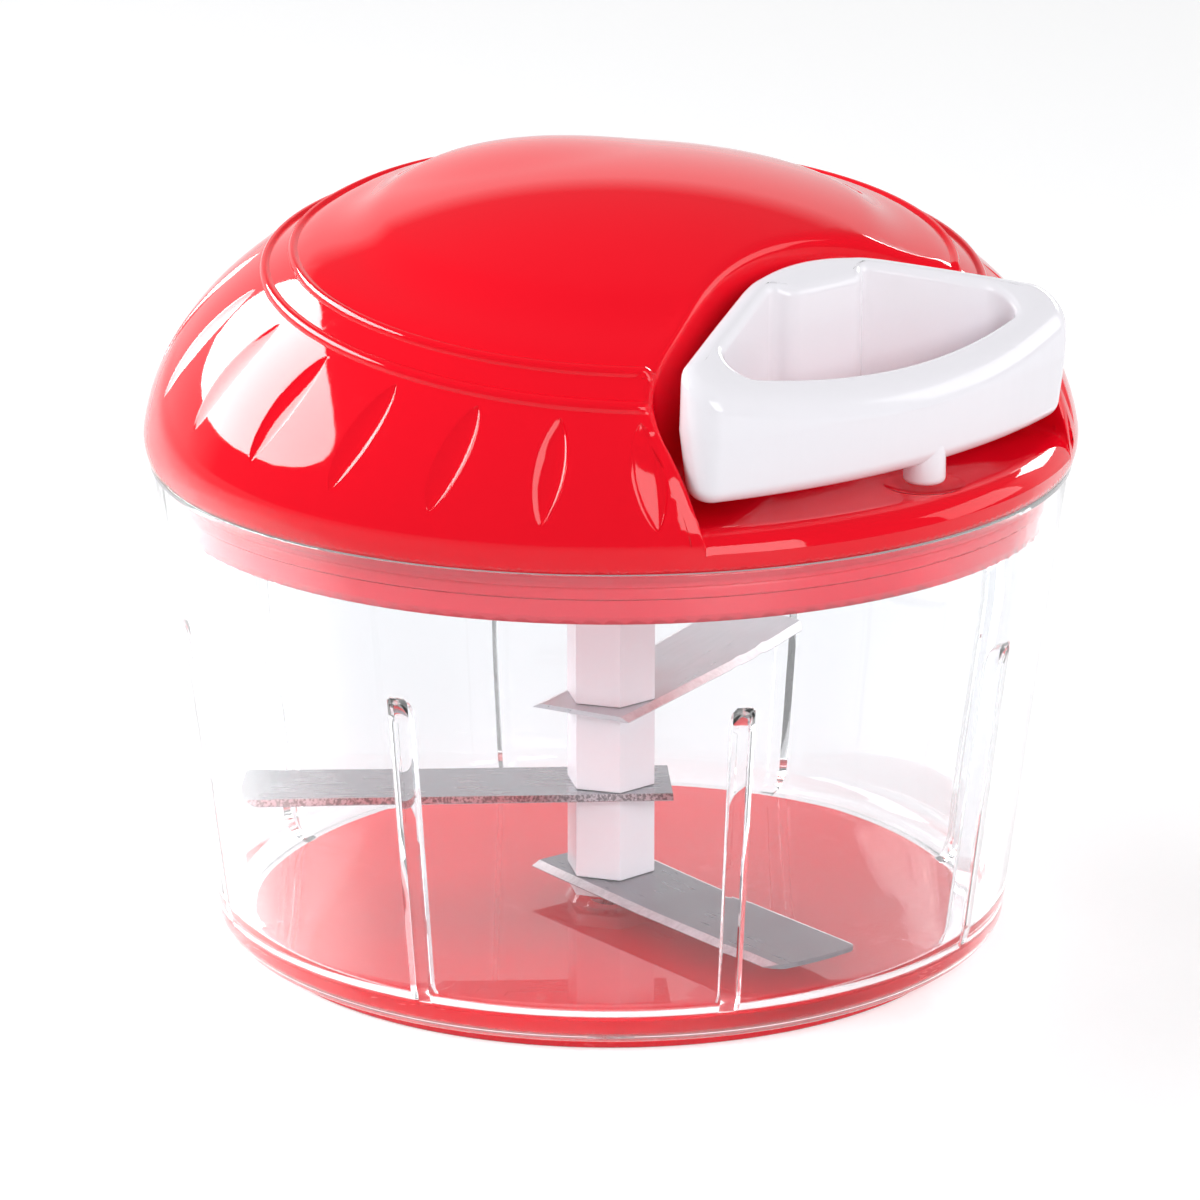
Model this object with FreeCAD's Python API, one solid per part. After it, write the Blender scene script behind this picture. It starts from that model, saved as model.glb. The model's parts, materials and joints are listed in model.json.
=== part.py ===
import FreeCAD, Part
import math
import os

# Pull-cord food chopper: a clear bowl, a lift-off domed lid with the cord reel
# inside it, a finger handle parked in the lid's front, and a stack of three
# blades on a pin.  The origin is on the bowl's axis at table level, +Z is up
# and the handle is pulled towards -Y.  All sizes are in millimetres.

os.makedirs("parts", exist_ok=True)
V = FreeCAD.Vector
UP = V(0, 0, 1)

# ---- Fits ----
snug = 0.04            # gap of a pushed-together joint inside one assembly
running = 0.06         # radial play of a shaft in its bore
clear = 0.3            # gap between neighbours that move past each other

# ---- The two sizes that the rest follows ----
lid_radius = 76.0
rim_height = 82.0      # of the bowl; the lid, handle and reel stand on this level
plan = lid_radius / 76.0   # scales what is seen from above

# ---- Bowl and base ----
rim_radius = 74.5 * plan
bowl_taper = 0.1235    # radius lost per millimetre of depth
bowl_wall = 2.4
bowl_floor = 3.4
bowl_corner = 4.0      # outer rounding between floor and wall
bowl_inner_corner = 5.0
base_height = 2.0
base_groove_depth = 1.2
base_radius = rim_radius - bowl_taper * (rim_height - base_height) - 4.4
foot_ring_radius = base_radius - 9.2
foot_ring_width = 2.4
rib_count = 8
rib_heading = 19.0     # angle of the first rib from +X, degrees
rib_width = 3.2
rib_depth = 2.6
rib_top = rim_height - 24.0
rib_slant = 3.0
pin_radius = 2.5
pin_length = 16.0      # stands this far above the bowl's floor
pin_seat_depth = 1.6
pin_boss_radius = 6.5
pin_boss_height = 1.3

# ---- Blade stack ----
blade_thickness = 0.8
blade_width = 18.0
blade_tail = 9.8       # how far a blade runs on behind the axis
blade_pitch = 15.0
lowest_blade = 9.2
blade_tip_gap = (6.0, 1.36, 11.22)   # between each blade's end and the ribs
blade_heading = (-96.0, 140.0, 17.0)
edge_bevel = 3.0
column_corner = 7.6    # centre to corner of the six-sided spacers
column_heading = 58.5
spindle_radius = 4.6
spindle_in_cap = 8.0
drive_overlap = 10.5   # length of the column that sits in the drive hub
stack_screw_radius = 1.5

# ---- Lid shell ----
lid_crown = rim_height + 47.7
dome_equator = rim_height - 0.6
dome_power = 2.04
lid_edge = rim_height + 0.3   # height of the shell's lower edge
lid_wall = 2.0
bead_centre = (-4.3 * plan, 7.7 * plan)   # across, and towards the handle
bead_radii = (57.3 * plan, 52.8 * plan)
bead_width = 1.5
bead_height = 0.5
flute_first = 37.6     # bottom of the first flute, degrees from the handle
flute_per_side = 11
flute_lean = 5.1       # how far the tops at the sides lean towards the handle, degrees
flute_counterlean = 3.9   # turns the lean round next to the bay
flute_half_width = 2.1
flute_depth = 0.5
flute_bottom = rim_height + 6.0
flute_bottom_rise = 4.4   # the flutes' bottoms climb from the bay round to the back
flute_to_bead = 1.7    # the flutes end this far outside the outer bead

# ---- Handle bay in the lid ----
bay_draft = 0.05       # the bay's walls lean outwards this much per millimetre
bay_floor = rim_height + 6.4
bay_apex = 35.5 * plan
bay_corner = (42.6 * plan, 49.6 * plan)
bay_mouth = 43.8 * plan
bay_roundings = (60.0, 7.0)
bay_lip = 4.0          # rounding of the bay floor's outer edge
scoop_radius = 18.0
scoop_depth = 1.2

# ---- Handle ----
handle_bottom = rim_height + 10.0
handle_split = rim_height + 21.0   # the mould's parting line, where the handle is widest
draft_above = 0.03
draft_below = 0.12
handle_apex = 37.9 * plan
handle_slope = 0.48    # rise of the two back arms, seen from above
handle_half_width = 40.4 * plan
handle_front = 71.2 * plan
handle_front_curve = 114.0 * plan
handle_top_front = rim_height + 22.9
handle_below_dome = 0.3   # the handle's highest point sits this far under the dome
handle_top_bend = 0.0034  # how its top curves down towards the front
back_wall = 4.0
front_wall = 5.2
handle_apex_rounding = 38.0 * plan
handle_corner_rounding = 4.8 * plan
inner_corner_rounding = 1.8
outer_edge_rounding = 2.4
inner_edge_rounding = 1.2
boss_front = handle_apex + 11.5   # how far out the cord boss bulges into the opening
boss_half_width = 7.3
boss_rounding = 4.5
boss_flank = 52.0      # slope of its flanks, degrees
boss_root_rounding = 1.0
peg_radius = 3.3
peg_out = handle_front - 4.3
peg_across = 4.0       # the peg stands to one side of the middle

# ---- Cord, reel and recoil spring ----
cord_radius = 1.0
cord_level = rim_height + 22.0
eyelet_radius = 2.6
eyelet_flange_radius = 3.8
eyelet_stub = 1.0      # the eyelet's tube stands this far inside the lid
knot_radius = 2.2
knot_out = handle_apex + 8.0
reel_radius = 26.0 * plan   # radius of the drum that the cord winds on
reel_flange = reel_radius + 5.0
reel_gap = 10.4        # space between the two flanges
reel_plate = 1.6
cup_wall = 2.4
cup_floor = 3.2
cord_turns = 5
axle_radius = 2.5
axle_seat = 8.0
arbor_radius = 6.5
arbor_gap = 1.3        # between the spring arbor's foot and the cup's floor
spring_strip = 0.5
spring_turns = 7
spring_width = 8.0
reel_lid_thickness = 1.2

# ---- Drive hub and lower cover ----
hub_radius = 10.2
hub_collar = 13.5
hub_collar_height = 1.6
hub_bottom = rim_height - 5.6
bush_wall = 1.84
bush_height = 8.6
bush_flange = 1.0
stiffener_count = 6
stiffener_width = 1.6
cover_bottom = rim_height - 4.4
cover_plate = 1.8
cover_flange = 2.0
skirt_bottom = rim_height - 7.8
skirt_wall = 2.0
skirt_gap = 0.45
seal_height = 2.0
seal_level = rim_height - 3.6
seal_bite = 0.9
boss_outer = 3.6
screw_radius = 1.4
screw_head = 2.8
screw_bite = 3.0
screw_back = 38.0 * plan      # the pair behind the reel, across and back
screw_front = (30.0 * plan, 54.0 * plan)   # the pair under the handle bay
screw_bore = 8.0              # depth of the blade stack's screw bore


def save(name, shape):
    """Writes one sub-part as parts/name.step."""
    shape.exportStep("parts/" + name + ".step")


def cylinder(radius, low, high, x=0.0, y=0.0):
    """Upright cylinder between two heights."""
    return Part.makeCylinder(radius, high - low, V(x, y, low), UP)


def ring(inner, outer, low, high):
    """Upright tube between two heights."""
    return cylinder(outer, low, high).cut(cylinder(inner, low - 1, high + 1))


def six_sided(corner, low, high, heading=0.0):
    """Six-sided prism; corner is the distance from its axis to a corner."""
    points = []
    for k in range(7):
        turn = math.radians(heading + 60.0 * k)
        points.append(V(corner * math.cos(turn), corner * math.sin(turn), low))
    return Part.Face(Part.makePolygon(points)).extrude(V(0, 0, high - low))


def rounded(corners, place):
    """Closed wire through corners (a, b, rounding); place turns (a, b) into a point."""
    ends = []
    count = len(corners)
    for i in range(count):
        before = V(corners[i - 1][0], corners[i - 1][1], 0)
        here = V(corners[i][0], corners[i][1], 0)
        after = V(corners[(i + 1) % count][0], corners[(i + 1) % count][1], 0)
        radius = corners[i][2]
        if radius <= 0:
            ends.append((here, None, here))
            continue
        back = (before - here).normalize()
        ahead = (after - here).normalize()
        half = back.getAngle(ahead) / 2
        reach = radius / math.tan(half)
        middle = (back + ahead).normalize()
        centre = here + middle * (radius / math.sin(half))
        ends.append((here + back * reach, centre - middle * radius, here + ahead * reach))
    edges = []
    for i in range(count):
        start, mid, stop = ends[i]
        following = ends[(i + 1) % count][0]
        if mid is not None:
            arc = Part.Arc(place(start.x, start.y), place(mid.x, mid.y), place(stop.x, stop.y))
            edges.append(arc.toShape())
        if stop.distanceToPoint(following) > 1e-6:
            edges.append(Part.LineSegment(place(stop.x, stop.y), place(following.x, following.y)).toShape())
    return Part.Wire(edges)


def turned(corners):
    """Solid of revolution about the Z axis from corners (radius, height, rounding)."""
    outline = rounded(corners, lambda r, z: V(r, 0, z))
    return Part.Face(outline).revolve(V(0, 0, 0), UP, 360)


def facing(shape, degrees):
    """Copy of a shape turned about the Z axis."""
    copy = shape.copy()
    copy.rotate(V(0, 0, 0), UP, degrees)
    return copy


# ---- Base: a soft non-slip disc under the bowl ----
groove_inner = foot_ring_radius - foot_ring_width / 2 - snug
groove_outer = foot_ring_radius + foot_ring_width / 2 + snug
base = turned([
    (0, 0, 0),
    (base_radius - 0.5, 0, 0.6),
    (base_radius, base_height, 0.8),
    (0, base_height, 0),
])
base = base.cut(ring(groove_inner, groove_outer, base_height - base_groove_depth - snug, base_height + 1))
save("non_slip_base", base)


# ---- Bowl: clear, tapered, with ribs that stop the food from spinning ----
def bowl_outside(z):
    return rim_radius - bowl_taper * (rim_height - z)


def bowl_inside(z):
    return bowl_outside(z) - bowl_wall


floor_top = base_height + bowl_floor
bowl_body = turned([
    (0, base_height, 0),
    (bowl_outside(base_height), base_height, bowl_corner),
    (rim_radius, rim_height, 0.8),
    (0, rim_height, 0),
])
bowl_hollow = turned([
    (0, floor_top, 0),
    (bowl_inside(floor_top), floor_top, bowl_inner_corner),
    (bowl_inside(rim_height + 5), rim_height + 5, 0),
    (0, rim_height + 5, 0),
])
bowl = bowl_body.cut(bowl_hollow)
rib_profile = Part.makePolygon([
    V(bowl_inside(floor_top) - rib_depth - bowl_inner_corner, 0, floor_top - bowl_floor / 2),
    V(bowl_inside(floor_top) - rib_depth - bowl_inner_corner, 0, floor_top),
    V(bowl_inside(floor_top + bowl_inner_corner) - rib_depth, 0, floor_top + bowl_inner_corner),
    V(bowl_inside(rib_top - rib_slant) - rib_depth, 0, rib_top - rib_slant),
    V(bowl_inside(rib_top) + bowl_wall / 2, 0, rib_top + rib_slant / 2),
    V(bowl_inside(floor_top) + bowl_wall / 2, 0, floor_top - bowl_floor / 2),
    V(bowl_inside(floor_top) - rib_depth - bowl_inner_corner, 0, floor_top - bowl_floor / 2),
])
rib = Part.Face(rib_profile).extrude(V(0, rib_width, 0))
rib.translate(V(0, -rib_width / 2, 0))
rib = rib.common(bowl_body)
for k in range(rib_count):
    bowl = bowl.fuse(facing(rib, rib_heading + 360.0 / rib_count * k))
bowl = bowl.fuse(ring(groove_inner + snug, groove_outer - snug, base_height - base_groove_depth, base_height + 1))
pin_boss_top = floor_top + pin_boss_height
bowl = bowl.fuse(cylinder(pin_boss_radius, floor_top - 1, pin_boss_top))
pin_low = floor_top - pin_seat_depth
bowl = bowl.cut(cylinder(pin_radius + snug, pin_low, pin_boss_top + 1))
save("bowl", bowl.removeSplitter())

pin_high = floor_top + pin_length
pin = turned([
    (0, pin_low, 0),
    (pin_radius, pin_low, 0),
    (pin_radius, pin_high, 1.2),
    (0, pin_high, 0),
])
save("centre_pin", pin)

# ---- Blade stack: foot and tube, three blades and the six-sided spacers ----
blade_levels = [lowest_blade + blade_pitch * k for k in range(3)]
column_top = hub_bottom + drive_overlap
cap_low = blade_levels[2] + blade_thickness + snug
spindle_top = cap_low + spindle_in_cap
foot_bottom = pin_boss_top + clear
foot = six_sided(column_corner, foot_bottom, lowest_blade - snug, column_heading)
spindle = foot.fuse(cylinder(spindle_radius, foot_bottom, spindle_top))
spindle = spindle.cut(cylinder(pin_radius + running, foot_bottom - 1, pin_high + clear))
spindle = spindle.cut(cylinder(stack_screw_radius, spindle_top - 6.0, spindle_top + 1))
save("blade_spindle", spindle.removeSplitter())


def blade(reach, level, heading):
    """Flat steel blade with one ground edge and an end that follows the bowl."""
    half = blade_width / 2
    plate = Part.makeBox(reach + blade_tail, blade_width, blade_thickness, V(-blade_tail, -half, 0))
    plate = plate.common(cylinder(reach, -1, blade_thickness + 1))
    bevel = Part.makePolygon([
        V(0, -half - 0.1, blade_thickness * 0.25),
        V(0, -half - 0.1, blade_thickness + 0.1),
        V(0, -half + edge_bevel, blade_thickness + 0.1),
        V(0, -half - 0.1, blade_thickness * 0.25),
    ])
    grind = Part.Face(bevel).extrude(V(reach + 1, 0, 0))
    grind.translate(V(column_corner, 0, 0))
    plate = plate.cut(grind).cut(cylinder(spindle_radius + snug, -1, blade_thickness + 1))
    plate.translate(V(0, 0, level))
    return facing(plate, heading)


for k in range(3):
    reach = bowl_inside(blade_levels[k]) - rib_depth - blade_tip_gap[k]
    save(("lower_blade", "middle_blade", "upper_blade")[k], blade(reach, blade_levels[k], blade_heading[k]))


def spacer(low, high):
    """Six-sided sleeve on the spindle between two blades."""
    sleeve = six_sided(column_corner, low, high, column_heading)
    return sleeve.cut(cylinder(spindle_radius + snug, low - 1, high + 1))


for name, k in (("lower_spacer", 0), ("middle_spacer", 1)):
    low = blade_levels[k] + blade_thickness + snug
    save(name, spacer(low, blade_levels[k + 1] - snug))
drive_column = six_sided(column_corner, cap_low, column_top, column_heading)
drive_column = drive_column.cut(cylinder(spindle_radius + snug, cap_low - 1, spindle_top + snug))
screw_bore_top = column_top - screw_bore
drive_column = drive_column.cut(cylinder(stack_screw_radius + snug, spindle_top, column_top + 1))
drive_column = drive_column.cut(cylinder(stack_screw_radius * 2, screw_bore_top, column_top + 1))
save("drive_column", drive_column)
stack_screw = cylinder(stack_screw_radius - snug, spindle_top - 5.5, screw_bore_top + 1)
stack_screw = stack_screw.fuse(cylinder(stack_screw_radius * 2 - snug, screw_bore_top + snug, screw_bore_top + 2.2))
stack_screw = stack_screw.cut(six_sided(1.2, screw_bore_top + 1.0, screw_bore_top + 3.0))
save("stack_screw", stack_screw.removeSplitter())


# ---- Levels and places that the lid shares with what it carries ----
drum_low = cord_level - reel_gap / 2
drum_high = drum_low + reel_gap
reel_low = drum_low - reel_plate
reel_high = drum_high + reel_plate
cup_radius = reel_radius - cup_wall
cup_bottom = reel_low + cup_floor
arbor_bottom = cup_bottom + arbor_gap
cover_top = rim_height + cover_flange
screw_places = [
    (screw_back, screw_back),
    (-screw_back, screw_back),
    (screw_front[0], -screw_front[1]),
    (-screw_front[0], -screw_front[1]),
]


# ---- Lid shell: dome, beads, flutes and the bay that the handle parks in ----
def dome(inset, low):
    """Solid under the dome, inset from the outer surface, down to a height."""
    radius = lid_radius - inset
    rise = lid_crown - dome_equator - inset
    share = math.asin(((low - dome_equator) / rise) ** (dome_power / 2))
    steps = 16
    points = []
    for k in range(steps + 1):
        turn = share + (math.pi / 2 - share) * k / steps
        across = radius * max(math.cos(turn), 0.0) ** (2 / dome_power)
        points.append(V(across, 0, dome_equator + rise * math.sin(turn) ** (2 / dome_power)))
    points[-1].x = 0.0
    curve = Part.BSplineCurve()
    curve.interpolate(points)
    foot_edge = Part.LineSegment(V(0, 0, low), points[0]).toShape()
    axis_edge = Part.LineSegment(points[-1], V(0, 0, low)).toShape()
    outline = Part.Wire([foot_edge, curve.toShape(), axis_edge])
    return Part.Face(outline).revolve(V(0, 0, 0), UP, 360)


bay_ceiling = lid_crown + 10


def bay(low, wall):
    """Block that clears the handle bay, grown by a wall; it widens upwards."""
    loops = []
    for height in (low, bay_ceiling):
        inward = bay_draft * (bay_ceiling - height) - wall
        x_corner = bay_corner[0] - inward
        y_corner = bay_corner[1] + inward
        mouth = bay_mouth - inward
        corners = [
            (0, bay_apex + inward, bay_roundings[0]),
            (x_corner, y_corner, bay_roundings[1]),
            (mouth, lid_radius + 15, 0),
            (-mouth, lid_radius + 15, 0),
            (-x_corner, y_corner, bay_roundings[1]),
        ]
        loops.append(rounded(corners, lambda x, out: V(x, -out, height)))
    return Part.makeLoft(loops, True, True)


outside = dome(0.0, lid_edge)
hollow = dome(lid_wall, lid_edge)
hollow = hollow.fuse(cylinder(lid_radius - lid_wall - 0.1, lid_edge - 1, lid_edge))
bay_cut = bay(bay_floor, 0.0)
bay_shell = bay(bay_floor - lid_wall, lid_wall)
shell = outside.cut(hollow.cut(bay_shell))

# Screw bosses and the arbor that holds the reel's axle and the spring
for x, y in screw_places:
    shell = shell.fuse(cylinder(boss_outer, cover_top, lid_crown, x, y).common(outside))
shell = shell.fuse(cylinder(arbor_radius, arbor_bottom, lid_crown).common(outside))

# Two beads that run round the dome, off its centre
proud = dome(-bead_height, lid_edge)
for radius in bead_radii:
    x, out = bead_centre
    band = cylinder(radius + bead_width / 2, lid_edge, lid_crown + 5, x, -out)
    band = band.cut(cylinder(radius - bead_width / 2, lid_edge - 1, lid_crown + 6, x, -out))
    shell = shell.fuse(band.common(proud).cut(dome(lid_wall / 2, lid_edge)))

# Leaf-shaped finger flutes all round the side, with their tops along the outer bead
shallow = dome(flute_depth, lid_edge)
flute_pitch = (180.0 - flute_first) / (flute_per_side - 0.5)


def bead_reach(heading):
    """Distance from the axis to the flutes' tops, at an angle from the handle."""
    turn = math.radians(heading)
    along = bead_centre[0] * math.sin(turn) + bead_centre[1] * math.cos(turn)
    aside = bead_centre[0] * math.cos(turn) - bead_centre[1] * math.sin(turn)
    return along + math.sqrt((bead_radii[0] + flute_to_bead) ** 2 - aside ** 2)


def dome_height(radius):
    share = (1 - (radius / lid_radius) ** dome_power) ** (1 / dome_power)
    return dome_equator + (lid_crown - dome_equator) * share


for side in (-1, 1):
    for k in range(flute_per_side):
        heading = flute_first + flute_pitch * k
        turn = math.radians(heading)
        lean = flute_lean * math.sin(turn) * (1 - flute_counterlean * math.cos(turn) ** 4)
        top_radius = bead_reach(side * (heading - lean))
        shift = side * math.sin(math.radians(lean / 2))
        low_tip = V(0, lid_radius * shift, flute_bottom + flute_bottom_rise * (1 - math.cos(turn)))
        high_tip = V(0, -top_radius * shift, dome_height(top_radius))
        middle = (low_tip + high_tip) * 0.5
        bulge = V(0, flute_half_width, 0)
        left = Part.Arc(low_tip, middle - bulge, high_tip).toShape()
        right = Part.Arc(high_tip, middle + bulge, low_tip).toShape()
        leaf = Part.Face(Part.Wire([left, right])).extrude(V(lid_radius, 0, 0))
        leaf = facing(leaf, side * (heading - lean / 2) - 90.0)
        shell = shell.cut(leaf.cut(shallow))

# The bay, its rounded lip, and the finger scoop in its floor
lip = turned([
    (0, lid_edge - 1, 0),
    (lid_radius + 0.2, lid_edge - 1, 0),
    (lid_radius, bay_floor, bay_lip),
    (0, bay_floor, 0),
])
shell = shell.cut(bay_cut).cut(bay(lid_edge - 1, 0.0).cut(lip))
shell = shell.cut(Part.makeSphere(scoop_radius, V(peg_across, -peg_out, bay_floor - scoop_depth + scoop_radius)))
for x, y in screw_places:
    shell = shell.cut(cylinder(screw_radius, cover_top - 1, cover_top + screw_bite, x, y))
axle_top = arbor_bottom + axle_seat
shell = shell.cut(cylinder(axle_radius + snug, arbor_bottom - 1, axle_top + snug))
towards_handle = V(0, -1, 0)


def along_cord(radius, start, stop):
    """Cylinder on the cord's line, from one distance in front of the axis to another."""
    return Part.makeCylinder(radius, stop - start, V(0, -start, cord_level), towards_handle)


shell = shell.cut(along_cord(eyelet_radius, bay_apex - 5, bay_apex + 10))
save("lid_shell", shell.removeSplitter())


# ---- Handle: a finger loop with a cord boss at its back and a parking peg ----
def front_arc(front, curve, run):
    """Slope of the front's flanks, and the corner that its shallow rounding reaches from."""
    tilt = math.asin(run / curve)
    return math.tan(tilt), front + curve * (1 / math.cos(tilt) - 1)


def handle_shrink(height):
    """How much the handle's outline has drawn in at a height, from the mould's draft."""
    return max(draft_above * (height - handle_split), draft_below * (handle_split - height))


def handle_outline(height):
    """Outer loop of the handle at a height."""
    grow = -handle_shrink(height)
    half = handle_half_width + grow
    apex = handle_apex - grow
    corner = handle_corner_rounding + grow
    arm = apex + handle_slope * half
    slope, peak = front_arc(handle_front + grow, handle_front_curve, half - corner)
    flank = peak - half * slope
    corners = [
        (0, apex, handle_apex_rounding),
        (half, arm, corner),
        (half, flank, corner),
        (0, peak, handle_front_curve),
        (-half, flank, corner),
        (-half, arm, corner),
    ]
    return rounded(corners, lambda x, out: V(x, -out, height))


handle_length = handle_front - handle_apex
handle_rise = dome_height(handle_apex) - handle_below_dome - handle_top_front
handle_top_slope = handle_rise / handle_length + handle_top_bend * handle_length


def handle_top(out):
    behind = handle_front - out
    return handle_top_front + handle_top_slope * behind - handle_top_bend * behind ** 2


def rim_edges(shape, tool):
    """Edges that a cutting tool has left round its mouths."""
    found = []
    for edge in shape.Edges:
        halfway = edge.valueAt((edge.FirstParameter + edge.LastParameter) / 2)
        box = edge.BoundBox
        upright = box.XLength < 0.1 and box.YLength < 0.1
        if not upright and Part.Vertex(halfway).distToShape(tool)[0] < 1e-4:
            found.append(edge)
    return found


lower_half = Part.makeLoft([handle_outline(handle_bottom), handle_outline(handle_split)], True, True)
upper_half = Part.makeLoft([handle_outline(handle_split), handle_outline(lid_crown)], True, True)
far, near = lid_radius + 15, reel_radius
halfway = (far + near) / 2
top_curve = Part.Arc(
    V(-lid_radius, -far, handle_top(far)),
    V(-lid_radius, -halfway, handle_top(halfway)),
    V(-lid_radius, -near, handle_top(near)),
).toShape()
sky = Part.makePolygon([
    V(-lid_radius, -near, handle_top(near)),
    V(-lid_radius, -near, bay_ceiling),
    V(-lid_radius, -far, bay_ceiling),
    V(-lid_radius, -far, handle_top(far)),
])
above = Part.Face(Part.Wire([top_curve] + sky.Edges)).extrude(V(2 * lid_radius, 0, 0))
below = Part.makeBox(2 * lid_radius, far, 10, V(-lid_radius, -far, handle_bottom - 10))
upper_half = upper_half.cut(above)
upper_half = upper_half.makeFillet(outer_edge_rounding, rim_edges(upper_half, above))
lower_half = lower_half.makeFillet(outer_edge_rounding, rim_edges(lower_half, below))
grip = lower_half.fuse(upper_half)

arm_thickness = back_wall * math.sqrt(1 + handle_slope ** 2)
inner_apex = handle_apex + arm_thickness
inner_curve = handle_front_curve - front_wall
inner_run = handle_half_width - front_wall - handle_corner_rounding
inner_front, inner_peak = front_arc(handle_front - front_wall, inner_curve, inner_run)
inner_half = (inner_peak - inner_apex) / (handle_slope + inner_front)
inner_corner = inner_apex + handle_slope * inner_half
flank_steepness = math.tan(math.radians(boss_flank))
root_across = (boss_front + flank_steepness * boss_half_width - inner_apex) / (flank_steepness + handle_slope)
root_out = inner_apex + handle_slope * root_across
opening_outline = rounded([
    (-boss_half_width, boss_front, boss_rounding),
    (boss_half_width, boss_front, boss_rounding),
    (root_across, root_out, boss_root_rounding),
    (inner_half, inner_corner, inner_corner_rounding),
    (0, inner_peak, inner_curve),
    (-inner_half, inner_corner, inner_corner_rounding),
    (-root_across, root_out, boss_root_rounding),
], lambda x, out: V(x, -out, handle_bottom - 2))
opening = Part.Face(opening_outline).extrude(V(0, 0, lid_crown - handle_bottom))
grip = grip.cut(opening)
grip = grip.makeFillet(inner_edge_rounding, rim_edges(grip, opening))
peg = turned([
    (0, bay_floor + clear, 0),
    (peg_radius, bay_floor + clear, 1.0),
    (peg_radius, handle_bottom + 3, 0),
    (0, handle_bottom + 3, 0),
])
peg.translate(V(peg_across, -peg_out, 0))
grip = grip.fuse(peg)
pocket_top = cord_level + knot_radius + snug
grip = grip.cut(cylinder(knot_radius + snug, handle_bottom - 1, pocket_top, 0, -knot_out))
grip = grip.cut(along_cord(cord_radius + snug, handle_apex, knot_out))
save("pull_handle", grip.removeSplitter())

# ---- Cord: knot in the handle, run through the eyelet, run to the reel ----
save("cord_knot", Part.makeSphere(knot_radius - snug, V(0, -knot_out, cord_level)))
bay_slope = (bay_corner[1] - bay_apex) / bay_corner[0]
bay_back = bay_apex + bay_draft * (bay_ceiling - cord_level)
bay_back += bay_roundings[0] * (math.sqrt(1 + bay_slope ** 2) - 1)
handle_back = handle_apex + handle_shrink(cord_level)
handle_back += handle_apex_rounding * (math.sqrt(1 + handle_slope ** 2) - 1)
eyelet_in = bay_back - lid_wall - eyelet_stub
eyelet_out = handle_back - clear
eyelet = along_cord(eyelet_radius - snug, eyelet_in, eyelet_out)
flange = along_cord(eyelet_flange_radius, bay_back - 2, eyelet_out).common(bay(bay_floor, -snug))
eyelet = eyelet.fuse(flange).cut(along_cord(cord_radius + clear, eyelet_in - 1, eyelet_out + 1))
save("cord_eyelet", eyelet.removeSplitter())
cord_end = knot_out - knot_radius
save("handle_cord", along_cord(cord_radius, eyelet_in + 0.5, cord_end))

# The cord leaves the drum on a tangent and bends at the eyelet's inner end
winding_radius = reel_radius + cord_radius + snug
bend = eyelet_in
leaving = math.acos(winding_radius / bend)
tangent = V(winding_radius * math.sin(leaving), -winding_radius * math.cos(leaving), cord_level)
mouth = V(0, -bend, cord_level)
heading = (mouth - tangent).normalize()
skip = math.sqrt((winding_radius + 2 * cord_radius + clear) ** 2 - winding_radius ** 2)
run_length = bend * math.sin(leaving) - skip
run = Part.makeCylinder(cord_radius, run_length + cord_radius, tangent + heading * skip, heading)
save("cord_run", run.cut(along_cord(eyelet_radius * 2, eyelet_in - snug, knot_out)))

# ---- Reel: flanged drum with a cup for the recoil spring ----
key_corner = hub_radius * 0.75
reel = turned([
    (0, reel_low, 0),
    (reel_flange, reel_low, 0.6),
    (reel_flange, drum_low, 0.6),
    (reel_radius, drum_low, 0),
    (reel_radius, drum_high, 0),
    (reel_flange, drum_high, 0.6),
    (reel_flange, reel_high, 0.6),
    (cup_radius, reel_high, 0),
    (cup_radius, cup_bottom, 1.0),
    (0, cup_bottom, 0),
])
reel = reel.cut(six_sided(key_corner + snug, reel_low - 1, cup_bottom + 1))
save("cord_reel", reel)

reel_cover = turned([
    (arbor_radius + 2 * clear, reel_high, 0),
    (cup_radius - snug - cup_wall / 2, reel_high, 0),
    (cup_radius - snug - cup_wall / 2, drum_high, 0),
    (cup_radius - snug, drum_high, 0.3),
    (cup_radius - snug, reel_high, 0),
    (reel_flange - 2, reel_high, 0),
    (reel_flange - 2, reel_high + reel_lid_thickness, 0.6),
    (arbor_radius + 2 * clear, reel_high + reel_lid_thickness, 0.3),
])
save("reel_cover", reel_cover)

wound = ring(reel_radius + snug, reel_radius + cord_radius * 0.7, drum_low + snug, drum_high - snug)
turn_gap = reel_gap / cord_turns
for k in range(cord_turns):
    wound = wound.fuse(Part.makeTorus(winding_radius, cord_radius, V(0, 0, drum_low + turn_gap * (k + 0.5)), UP))
save("wound_cord", wound.common(ring(reel_radius + snug, reel_flange, drum_low, drum_high)))


# ---- Recoil spring: a flat strip coiled round the arbor inside the reel's cup ----
def coiled_strip(inner, outer, low, high):
    """Spiral of half circles, each centred to meet the last, with the strip's thickness."""
    step = (outer - inner) / (2 * spring_turns)
    edges = []
    ends = []
    for extra in (0.0, spring_strip):
        middle = 0.0
        sign = 1
        for k in range(2 * spring_turns):
            reach = inner + step * k + extra
            start = V(middle + sign * reach, 0, low)
            peak = V(middle, sign * reach, low)
            stop = V(middle - sign * reach, 0, low)
            edges.append(Part.Arc(start, peak, stop).toShape())
            if k == 0:
                ends.append(start)
            middle += sign * step
            sign = -sign
        ends.append(stop)
    edges.append(Part.LineSegment(ends[0], ends[2]).toShape())
    edges.append(Part.LineSegment(ends[1], ends[3]).toShape())
    outline = Part.Wire(Part.__sortEdges__(edges))
    return Part.Face(outline).extrude(V(0, 0, high - low))


spring_low = cup_bottom + clear
spring_outer = cup_radius - 2 * spring_strip
save("recoil_spring", coiled_strip(arbor_radius + snug, spring_outer, spring_low, spring_low + spring_width))

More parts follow.
